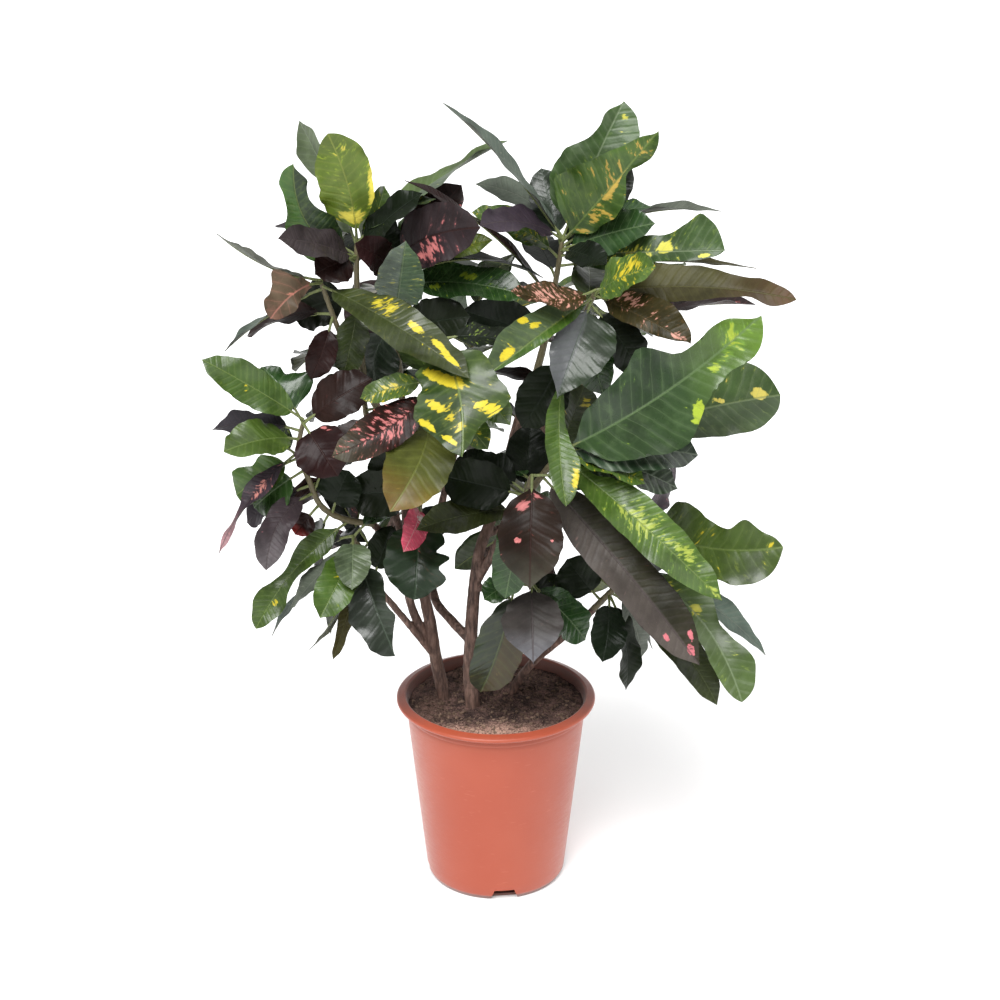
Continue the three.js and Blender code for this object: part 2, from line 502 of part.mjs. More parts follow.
// A leaf placed round its stem by golden steps, swung by one of the turn steps
function backLeaf(curve, row, number, step) {
  const [leaves, middle, spread, length, width, youngRise, oldRise] = row;
  const age = number / (leaves - 1);
  const vary = (number * GOLDEN_STEP) % 1;
  const place = THREE.MathUtils.lerp(YOUNGEST_PLACE, OLDEST_PLACE, age);
  const base = curve.getPoint(place);
  const stem = curve.getTangent(place);
  const away = new THREE.Vector3(0, 1, 0).addScaledVector(stem, -stem.y).normalize();
  const angle = THREE.MathUtils.degToRad(middle + spread * (vary - 0.5) + TURN_STEPS[step]);
  const outward = away.applyAxisAngle(stem, angle);
  const rise = THREE.MathUtils.degToRad(THREE.MathUtils.lerp(youngRise, oldRise, age));
  const reach = length * (SHORTEST_LENGTH + LENGTH_RANGE * ((number * LENGTH_STEP) % 1));
  const tip = base.clone()
    .addScaledVector(outward, reach * Math.cos(rise))
    .addScaledVector(stem, reach * Math.sin(rise));
  const along = tip.clone().sub(base).normalize();
  const face = stem.addScaledVector(along, -stem.dot(along)).normalize();
  return {
    base,
    tip,
    face,
    width: width * (NARROWEST_WIDTH + WIDTH_RANGE * vary),
    arch: BACK_ARCH,
    bow: 0,
    waist: DEEPEST_WAIST * ((number * WAIST_STEP) % 1),
    wave: BACK_WAVE,
    edges: [null, null],
    phase: number * GOLDEN_ANGLE,
  };
}

function boxesMeet(a, b) {
  return a.min[0] < b.max[0] && b.min[0] < a.max[0]
    && a.min[1] < b.max[1] && b.min[1] < a.max[1]
    && a.min[2] < b.max[2] && b.min[2] < a.max[2];
}

// What has been placed so far: { owner, solid, box }
const placed = [];

function place(owner, solid) {
  placed.push({ owner, solid, box: solid.boundingBox() });
}

function meetsAny(solid, isObstacle) {
  const box = solid.boundingBox();
  return placed.some((other) => isObstacle(other) && boxesMeet(box, other.box)
    && solid.intersect(other.solid).volume() > 0);
}

// The first step at which the leaf is clear of everything, or else of all but its own stem's leaves
function clearLeaf(owner, shapeAt, stations) {
  const tries = DEPTH_STEPS.map((_, step) => {
    const leaf = shapeAt(step);
    return {
      leaf,
      whole: skinned(leafRings(leaf, stations, LEAF_CLEARANCE)),
      blade: skinned(leafRings(leaf, stations, LEAF_CLEARANCE).slice(2)),
    };
  });
  const clearOfOthers = tries.filter(({ whole }) => !meetsAny(whole, (other) => other.owner !== owner));
  const chosen = clearOfOthers.find(({ blade }) => !meetsAny(blade, (other) => other.owner === owner))
    ?? clearOfOthers[0];
  if (!chosen) return null;
  return skinned(leafRings(chosen.leaf, stations));
}

function pot() {
  const top = POT_HEIGHT - LIP_HEIGHT;
  const inner = POT_WALL / 2;
  const solid = turned([
    [0, 0],
    [FOOT_RADIUS, 0],
    [CHAMFER_RADIUS, CHAMFER_HEIGHT],
    [NECK_RADIUS, top],
    [RIM_RADIUS - LIP_ROUNDING, top],
    [RIM_RADIUS, top + LIP_ROUNDING],
    [RIM_RADIUS, POT_HEIGHT - LIP_ROUNDING],
    [RIM_RADIUS - LIP_ROUNDING, POT_HEIGHT],
    [NECK_RADIUS + LIP_ROUNDING, POT_HEIGHT - LIP_ROUNDING / 2],
    [NECK_RADIUS - POT_WALL, top - NECK_TAPER_HEIGHT],
    [CHAMFER_RADIUS - POT_WALL, CHAMFER_HEIGHT + inner],
    [FOOT_RADIUS - POT_WALL, POT_FLOOR],
    [0, POT_FLOOR],
  ], POT_SIDES);
  const notch = new THREE.BoxGeometry(NOTCH_WIDTH, NOTCH_DEPTH * 2, NOTCH_HEIGHT * 2);
  notch.translate(0, -CHAMFER_RADIUS, 0);
  notch.rotateZ(NOTCH_TURN);
  let notched = solid;
  for (let count = 0; count < NOTCH_COUNT; count += 1) {
    notched = notched.subtract(toSolid(notch));
    notch.rotateZ((2 * Math.PI) / NOTCH_COUNT);
  }
  return notched;
}

// Soil with a plain hole for each woody stem
function soil() {
  const gap = SEAT_GAP;
  const slope = (NECK_RADIUS - CHAMFER_RADIUS) / (POT_HEIGHT - LIP_HEIGHT - CHAMFER_HEIGHT);
  const topRadius = CHAMFER_RADIUS + slope * (SOIL_TOP - CHAMFER_HEIGHT) - POT_WALL - gap * 2;
  let solid = turned([
    [0, NOTCH_HEIGHT + gap],
    [CHAMFER_RADIUS - POT_WALL - gap * 4, NOTCH_HEIGHT + gap],
    [topRadius, SOIL_TOP - SOIL_EDGE_DROP],
    [topRadius * 0.6, SOIL_TOP + SOIL_CROWN * 0.7],
    [0, SOIL_TOP + SOIL_CROWN],
  ], POT_SIDES);
  for (const limbs of Object.values(WOODY_STEMS)) {
    solid = solid.subtract(stemSolid(limbs[0], WOODY_STEM_SIDES, gap));
  }
  return solid;
}

function woodySolid(limbs, extra = 0) {
  return limbs.map((limb) => stemSolid(limb, WOODY_STEM_SIDES, extra))
    .reduce((whole, limb) => whole.add(limb));
}

// Leaves of one stem that touch can enclose a pocket: only the outer shell is kept
function outerShell(solid) {
  return solid.decompose().reduce((best, shell) => (shell.volume() > best.volume() ? shell : best));
}

const croton = new THREE.Group();

const potSolid = pot();
const soilSolid = soil();
croton.add(toMesh('pot', potSolid, finish('#cb6f5a', 0.5)));
croton.add(toMesh('soil', soilSolid, finish('#3d2d28', 0.95)));
place('pot', potSolid);
place('soil', soilSolid);

let woodWithGap = null;
for (const [name, limbs] of Object.entries(WOODY_STEMS)) {
  const solid = woodySolid(limbs);
  croton.add(toMesh(name, solid, finish('#6e5147', 0.8)));
  place(name, solid);
  const widened = woodySolid(limbs, SEAT_GAP);
  woodWithGap = woodWithGap ? woodWithGap.add(widened) : widened;
}

const leafyParts = new Map();
for (const [name, stem] of Object.entries(LEAFY_STEMS)) {
  const solid = stemSolid(stem, LEAFY_STEM_SIDES).subtract(woodWithGap);
  place(name, solid);
  leafyParts.set(name, [solid]);
}

function frontStations(row) {
  const [waist, wave, leftEdge] = row.slice(8);
  if (leftEdge) return SHAPED_STATIONS;
  if (wave <= SIMPLE_UP_TO_WAVE) return SIMPLE_STATIONS;
  return waist >= WAISTED_FROM ? WAISTED_STATIONS : BLADE_STATIONS;
}

function addLeaves(table, rowsOf, shape, stationsOf) {
  for (const [name, entry] of Object.entries(table)) {
    const curve = new THREE.CatmullRomCurve3(LEAFY_STEMS[name][0].map(seen));
    rowsOf(entry).forEach((row, number) => {
      const solid = clearLeaf(name, (step) => shape(curve, row, number, step), stationsOf(row));
      if (!solid) return;
      place(name, solid);
      leafyParts.get(name).push(solid);
    });
  }
}

addLeaves(FRONT_LEAVES, (rows) => rows, frontLeaf, frontStations);
addLeaves(BACK_LEAVES, (row) => Array(row[0]).fill(row), backLeaf, () => SIMPLE_STATIONS);

for (const [name, parts] of leafyParts) {
  const solid = outerShell(parts.reduce((whole, part) => whole.add(part)));
  croton.add(toMesh(name, solid, finish('#3f5a33', 0.45)));
}

export default croton;
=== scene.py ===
"""Potted croton: the looks of the plant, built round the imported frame.

Sizes are millimetres in the part's own frame, as in the part's source, and every mesh is made in metres.
What a material measures is in metres. The tables leave out the common start of the leafy stems' names.
"""

import math

import bmesh
import bpy
import numpy as np
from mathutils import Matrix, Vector, noise


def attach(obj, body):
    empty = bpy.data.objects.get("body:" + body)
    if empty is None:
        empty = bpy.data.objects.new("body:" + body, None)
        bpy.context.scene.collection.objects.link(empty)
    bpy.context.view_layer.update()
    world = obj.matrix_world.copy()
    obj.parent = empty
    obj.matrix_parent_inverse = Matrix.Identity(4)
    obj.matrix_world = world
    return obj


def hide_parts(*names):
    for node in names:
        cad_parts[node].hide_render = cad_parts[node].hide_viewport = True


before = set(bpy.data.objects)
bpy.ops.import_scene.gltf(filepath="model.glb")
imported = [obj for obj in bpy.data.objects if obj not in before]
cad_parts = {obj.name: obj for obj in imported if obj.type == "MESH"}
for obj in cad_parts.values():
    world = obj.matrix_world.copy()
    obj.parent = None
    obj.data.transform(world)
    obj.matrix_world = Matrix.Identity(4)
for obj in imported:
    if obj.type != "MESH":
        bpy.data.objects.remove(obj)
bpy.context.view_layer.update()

MM = 0.001
rng = np.random.default_rng(7)

# Camera, fitted to the ellipses of the pot's rim and foot in a photograph of 1000 by 1000 pixels
IMAGE_SIDE = 1000
CAMERA_BACK = 2560
CAMERA_HEIGHT = 1519
CAMERA_PITCH = math.radians(21.87)
CAMERA_REACH = 60000
FOCAL_PIXELS = 2359
AXIS_PIXEL = (495.9, 498.9)
SENSOR_WIDTH = 36

# Places in the tables are [x, y, z]: y is the true depth, x and z where the point is seen from EYE on y = 0
EYE = np.array([0.0, -CAMERA_BACK, CAMERA_HEIGHT])

# Studio: the surround's brightness by height, from the horizon at 0 to overhead at 1, and each sun's
# direction, spread in degrees and power
SURROUND = ((0.0, 1.0), (0.07, 1.0), (0.2, 0.24), (1.0, 0.9))
SUNS = {"key": ((-0.28, -0.86, 1.3), 36, 3.95), "rim": ((0.9, 0.5, 1.2), 60, 0.9)}
FLOOR_HALF = 12000

# Pot
POT_SEGMENTS = 144
POT_HEIGHT = 240
FOOT_RADIUS = 80.8
CHAMFER_RADIUS = 84.7
CHAMFER_HEIGHT = 8
NECK_RADIUS = 109
RIM_RADIUS = 120
LIP_BOTTOM = 232
LIP_FOOT = 228
WALL_SLOPE = (NECK_RADIUS - CHAMFER_RADIUS) / (LIP_BOTTOM - CHAMFER_HEIGHT)
POT_WALL = 2.4
POT_FLOOR = 3
POT_CREASE = math.radians(35)
NOTCH_COUNT = 4
NOTCH_TURN = math.radians(7)
NOTCH_HEIGHT = 14
NOTCH_WIDTH_TOP = 24
NOTCH_WIDTH_FOOT = 34
NOTCH_DEPTH = 12

# Profile of the lip: how far inside the rim and how far over the lip's bottom each point lies
LIP = ((3.4, 0), (1.8, 0.2), (0.6, 1), (0, 2.2), (0, 3.4), (0.5, 4.5), (1.6, 5.3), (4, 6.2), (7, 7.2))

# Bead round the wall under the lip: height, and how far it stands out of the wall
BEAD = ((219, 0), (220.2, -0.5), (220.6, -0.5), (221.2, 0.7), (222.4, 1.1), (224, 1), (226, 0.3))

# Soil: its lumps are (height, how fine, where in the noise)
SOIL_TOP = 226
SOIL_CROWN = 3
SOIL_FLOOR = 14.3
SOIL_SEGMENTS = 150
SOIL_RINGS = 46
SOIL_GAP = 0.4
SOIL_LUMPS = ((2.6, 0.045, 3.0), (1.5, 0.14, 9.0), (1.0, 0.45, 5.0))
TRUNK_MOUND = 3.0
TRUNK_MOUND_WIDTH = 10
CRUMB_COUNT = 1700
CRUMB_SMALLEST = 0.7
CRUMB_RANGE = 2.5
CRUMB_STRETCH = ((0.5, 0.5, 0.35), (1.6, 1.0, 0.9))
CRUMB_ROUGHNESS = 0.3
CRUMB_MARGIN = 4
CRUMB_CLEAR = 1.4
CRUMB_RAISED = 0.2
CRUMB_SHADES = 0.4
CRUMB_PALE = 1.1
CRUMB_PALE_POWER = 5

# Radius and height of the two belts of five corners on a crumb's shape, whose poles are at 1 and -1
CRUMB_BELT = (0.8944, 0.4472)

# Woody stems: the bumps are (height, how fine across, how fine along), as shares and per metre
BARK_SIDES = 16
BARK_RINGS = 12
BARK_RINGS_PER_PLACE = 7
BARK_VOXEL = 1.3
BARK_RELIEF = 0.5
BARK_BUMPS = ((1.0, 90, 30), (0.5, 260, 120))
BARK_SMOOTHING = 0.5
BARK_SMOOTHINGS = 3

# Young stems, with swellings where old leaves stood
STEM_BROWN = (92, 84, 58)
STEM_RINGS = 40
STEM_SIDES = 12
SCAR_HEIGHT = 0.35
SCAR_SPACING = 2.6
SCAR_SHIFT = 5
SCAR_SHARPNESS = 6
END_RINGS = 2.5
END_LEAST = 0.02

# Stalks, and the midribs that they run on in
STALK_GREEN = (104, 112, 66)
STALK_LENGTH = 17
STALK_RADIUS = 1.5
STALK_SIDES = 8
STALK_RINGS = 6
STALK_FOOT_RADIUS = 1.9
STALK_THINNING = 0.5
MIDRIB_RINGS = 16
MIDRIB_SPAN = (0.04, 0.93)
MIDRIB_RADIUS = 1.4
MIDRIB_TAPER = 0.8
MIDRIB_DROP = 0.8
MIDRIB_DROP_START = 20

# Leaves
FOOT_TAPER = 0.6
TIP_TAPER = 0.68
TIP_ROUNDING = 0.6
WAIST_PLACE = 0.5
WAIST_LENGTH = 0.14
WAVES_PER_EDGE = 1.6
WAVE_START = 4
WAVE_END = 5
RIGHT_EDGE_LAG = 2
EDGE_LIFT = 0.22
GOLDEN_ANGLE = math.radians(137.5)
GOLDEN_STEP = 0.618034
YOUNGEST_PLACE = 0.98
OLDEST_PLACE = 0.32
SHORTEST_LENGTH = 0.78
LENGTH_RANGE = 0.4
LENGTH_STEP = 0.37
NARROWEST_WIDTH = 0.8
WIDTH_RANGE = 0.4
DEEPEST_WAIST = 0.35
WAIST_STEP = 0.41
BACK_ARCH = 10
BACK_WAVE = 4
DEPTH_STEPS = [0, 8, -8, 16, -16, 24, -24, 34, -34, 44, -44, 56, -56, 70, -70]
TURN_STEPS = [0, 7, -7, 14, -14, 21, -21, 28, -28, 36, -36, 44, -44, 52, -52]
TIP_MATCH = 2.5
DRAWN_OUT_BELOW = 0.45
BLUNT_TIP_SLOPE = 2.4
POINT_LENGTH = 0.1
POINT_SHARPNESS = 0.45
STATION_CROWDING = 0.92
EDGE_WOBBLE = 0.022
WOBBLES = ((4.3, 1, 1), (9.1, 0.6, 3))
SIDE_PHASE = 2.1
RIPPLE_SHARE = 0.04
RIPPLES = 5.3
RIPPLE_END = 6
LIFT_SHARPNESS = 1.35
EDGE_THICKNESS = 0.1
MIDRIB_THICKNESS = 0.45
THINNEST_EDGE = 0.25
UNDER_PATCH = 0.5
TINT_RANGE = 0.09
TINT_TURNS = (1.0, 2.3, 3.1)
SEED_RANGE = 90
TIP_COLOUR_FROM = 0.55
TIP_COLOUR_LENGTH = 0.4
PATTERN_WIDTH = 64
PATTERN_RANGE = (0.75, 1.6)
FRONT_GRID = (44, 18)
BACK_GRID = (30, 12)
LEAF_CREASE = math.radians(55)
BAKE_GAP = 2
BAKE_SPARE = 1.12
SMALL = 1e-4

# What the leaves' materials read at every point, as leaf_place and so on, and the places of the materials
READ_VECTORS = ("place", "base", "vein", "mark", "traits")
READ_NUMBERS = ("under", "band")
GLOSSY, STALK, DULL = 0, 1, 2

# Leaf material: spacing, slant and left-right offset of the side veins, and how much the leaves shine
VEIN_SPACING = 0.0105
VEIN_SLANT = 0.62
VEIN_OFFSET = 0.4
SHINES = {"leaf_blade_glossy": 0.4, "leaf_blade_dull": 0.13}

# Each woody stem is a trunk with its limbs: places, radius at the foot and radius at the end
WOODY_STEMS = {
    "woody_stem_left": [
        ([(-62, 5, 190), (-63, 4, 232), (-72, 0, 283), (-79, -6, 336), (-88, -8, 380), (-102, -5, 439),
          (-108, -4, 500), (-128, -6, 580), (-152, -8, 645)], 8.5, 4.6),
        ([(-75, -2, 296), (-98, -15, 345), (-113, -24, 410), (-127, -30, 440), (-146, -38, 461)], 5.5, 4.2),
        ([(-75, -2, 290), (-100, -20, 325), (-122, -32, 354), (-146, -45, 385)], 4.6, 3.8),
        ([(-104, -5, 450), (-101, 15, 530), (-108, 20, 620)], 5, 4),
        ([(-98, -6, 425), (-94, -18, 444), (-91, -30, 466)], 4.8, 4),
        ([(-84, -7, 360), (-105, 40, 420), (-120, 70, 480), (-140, 95, 540)], 5, 4.2),
        ([(-118, 66, 470), (-132, 80, 440)], 4.2, 3.8),
    ],
    "woody_stem_middle": [
        ([(-28, -18, 178), (-28, -20, 218), (-31, -18, 262), (-30, -17, 309), (-27, -14, 362),
          (-19, -10, 426), (-4, 0, 471), (11, 8, 528), (26, 14, 590), (46, 18, 650)], 9.5, 4.8),
        ([(-24, -12, 385), (5, -28, 439), (30, -55, 488)], 6, 4.6),
        ([(-30, -17, 309), (-54, 2, 336), (-72, 20, 362), (-76, 50, 420), (-60, 85, 500),
          (-40, 110, 580)], 6, 4.2),
        ([(20, 12, 565), (62, -16, 640)], 5, 4.4),
        ([(-14, -6, 445), (40, 20, 470), (100, 28, 490)], 5, 4.2),
        ([(8, 6, 515), (50, 50, 570), (95, 80, 630)], 5, 4.2),
        ([(-18, -10, 420), (12, 40, 440), (34, 80, 456)], 4.4, 3.8),
        ([(-24, -13, 378), (0, -34, 376)], 4.6, 3.8),
    ],
    "woody_stem_right": [
        ([(18, 14, 196), (20, 14, 238), (43, 2, 278), (68, -14, 302), (98, -32, 330), (120, -46, 354)],
         5.6, 4.2),
        ([(66, -12, 300), (80, 40, 350), (92, 70, 390)], 4.6, 3.8),
    ],
}

# Each leafy stem: its places, radius at the foot and radius at the end
LEAFY_STEM = "leafy_stem_"
LEAFY_STEMS = {
    "top_left": ([(-152, -8, 645), (-156, -10, 690), (-157, -12, 745), (-156, -12, 803)], 4.4, 2.8),
    "upper_left": ([(-138, -8, 606), (-160, -24, 652), (-180, -32, 702), (-198, -40, 757)], 3.8, 2.6),
    "top_middle": ([(-108, 20, 616), (-113, 16, 700), (-112, 12, 782)], 4, 2.8),
    "top_right": ([(46, 18, 645), (57, 20, 692), (65, 20, 740), (75, 18, 806)], 4.6, 2.8),
    "upper_right": ([(61, -15, 637), (90, -42, 690), (114, -62, 748)], 4.2, 2.8),
    "centre": ([(-92, -28, 462), (-84, -56, 530), (-74, -90, 610), (-64, -122, 692)], 3.8, 2.6),
    "right": ([(28, -53, 484), (56, -86, 524), (76, -112, 552)], 4.4, 3),
    "front": ([(16, -38, 462), (32, -80, 490), (42, -110, 522)], 3.6, 2.8),
    "left": ([(-144, -37, 460), (-178, -50, 466), (-204, -62, 482), (-219, -70, 518), (-229, -76, 550),
        (-222, -80, 590)], 4, 2.6),
    "low_left": ([(-143, -43, 381), (-160, -56, 412), (-168, -62, 444)], 3.6, 2.6),
    "low_middle": ([(-3, -31, 376), (18, -52, 382), (42, -78, 388)], 3.6, 2.8),
    "low_right": ([(117, -44, 351), (146, -70, 382), (172, -90, 402)], 4, 2.8),
    "back_left": ([(-138, 92, 534), (-150, 112, 600), (-154, 124, 690)], 4, 2.8),
    "back_middle": ([(-41, 108, 574), (-30, 122, 650), (-26, 130, 720)], 4, 2.8),
    "back_right": ([(92, 78, 626), (122, 96, 670), (140, 104, 730)], 4, 2.8),
    "right_back": ([(96, 28, 489), (140, 18, 474), (176, 0, 458)], 4, 2.8),
    "low_back_left": ([(-129, 78, 444), (-150, 96, 420), (-166, 104, 440)], 3.6, 2.6),
    "low_back_middle": ([(32, 77, 455), (48, 104, 470), (58, 118, 492)], 3.6, 2.6),
    "low_back_right": ([(91, 68, 386), (112, 92, 420), (128, 100, 460)], 3.6, 2.6),
}

# Looks of a leaf: upper colour, vein colour, blotch colour, underside colour (sRGB, 0-255), roughness and
# how strongly the side veins show. The colours are as seen in full light, and the surface itself is
# darker by these shares.
UPPER_DEPTH = 0.62
VEIN_DEPTH = 0.62
MARK_DEPTH = 0.7
UNDER_DEPTH = 0.55
LOOKS = {
    "grass": ((71, 99, 35), (120, 142, 70), (222, 202, 52), (104, 118, 68), 0.34, 0.11),
    "lime": ((104, 122, 36), (146, 156, 70), (230, 216, 80), (122, 130, 70), 0.4, 0.16),
    "forest": ((46, 74, 34), (112, 138, 90), (158, 180, 54), (74, 88, 56), 0.27, 0.09),
    "fern": ((84, 108, 54), (128, 146, 96), (222, 206, 96), (88, 96, 66), 0.32, 0.1),
    # gloss: its pale vein colour, laid in wide bands along the side veins, is painted sheen
    "gloss": ((46, 66, 41), (150, 164, 142), (140, 160, 70), (70, 80, 60), 0.25, 0.3),
    "night": ((26, 34, 20), (40, 50, 38), (120, 140, 60), (40, 46, 36), 0.34, 0.08),
    "slate": ((38, 49, 32), (76, 90, 74), (140, 156, 84), (70, 80, 70), 0.32, 0.1),
    "sage": ((82, 104, 64), (134, 152, 114), (224, 218, 84), (118, 132, 104), 0.38, 0.12),
    "maroon": ((42, 25, 23), (58, 36, 32), (222, 134, 132), (72, 52, 48), 0.38, 0.06),
    "plum": ((66, 58, 63), (82, 72, 72), (218, 124, 132), (84, 74, 76), 0.40, 0.08),
    "ash": ((98, 106, 94), (130, 136, 122), (170, 170, 150), (122, 126, 114), 0.45, 0.15),
    "copper": ((102, 86, 68), (196, 132, 116), (222, 146, 126), (110, 90, 74), 0.45, 0.06),
    "umber": ((66, 66, 30), (92, 90, 50), (150, 90, 60), (84, 80, 44), 0.42, 0.12),
    "olive": ((84, 97, 30), (124, 132, 56), (172, 128, 56), (112, 110, 54), 0.44, 0.14),
    "moss": ((54, 66, 29), (90, 100, 56), (220, 202, 54), (84, 88, 56), 0.34, 0.1),
    "salmon": ((56, 50, 26), (84, 72, 42), (224, 164, 146), (92, 74, 54), 0.36, 0.08),
    "berry": ((33, 49, 29), (60, 80, 56), (226, 84, 108), (78, 80, 58), 0.32, 0.06),
    "coral": ((228, 96, 118), (240, 176, 180), (250, 232, 228), (190, 120, 120), 0.42, 0.06),
}

# Looks whose surface hardly shines
DULL_LOOKS = ("maroon", "plum", "night", "umber", "ash", "copper", "salmon", "coral")

# Looks and shares of speckles for the leaves of the hidden sides, each with how often it is drawn
BACK_LOOKS = {"forest": 0.27, "grass": 0.16, "maroon": 0.15, "night": 0.15, "sage": 0.05, "moss": 0.1,
              "plum": 0.06, "slate": 0.06}
BACK_SPECKLES = {0.0: 0.5, 0.1: 0.2, 0.35: 0.2, 0.5: 0.1}

# Blotches of the hidden leaves, taken in turn, so that about half of them are blotched
BACK_BLOTCHES = [
    [(0.45, 0.3, 0.2, 0.6, 0.6)],
    [],
    [(0.7, -0.4, 0.14, 0.5, 0.75), (0.35, 0.4, 0.1, 0.4, 0.8)],
    [],
    [(0.85, 0, 0.12, 0.8, 0.6), (0.3, -0.5, 0.14, 0.4, 0.6)],
    [],
    [],
]

# What the leaves and blotches have that leave out their last two values
PLAIN_LEAF = (0, ())
PLAIN_BLOTCH = (0.7, 0)

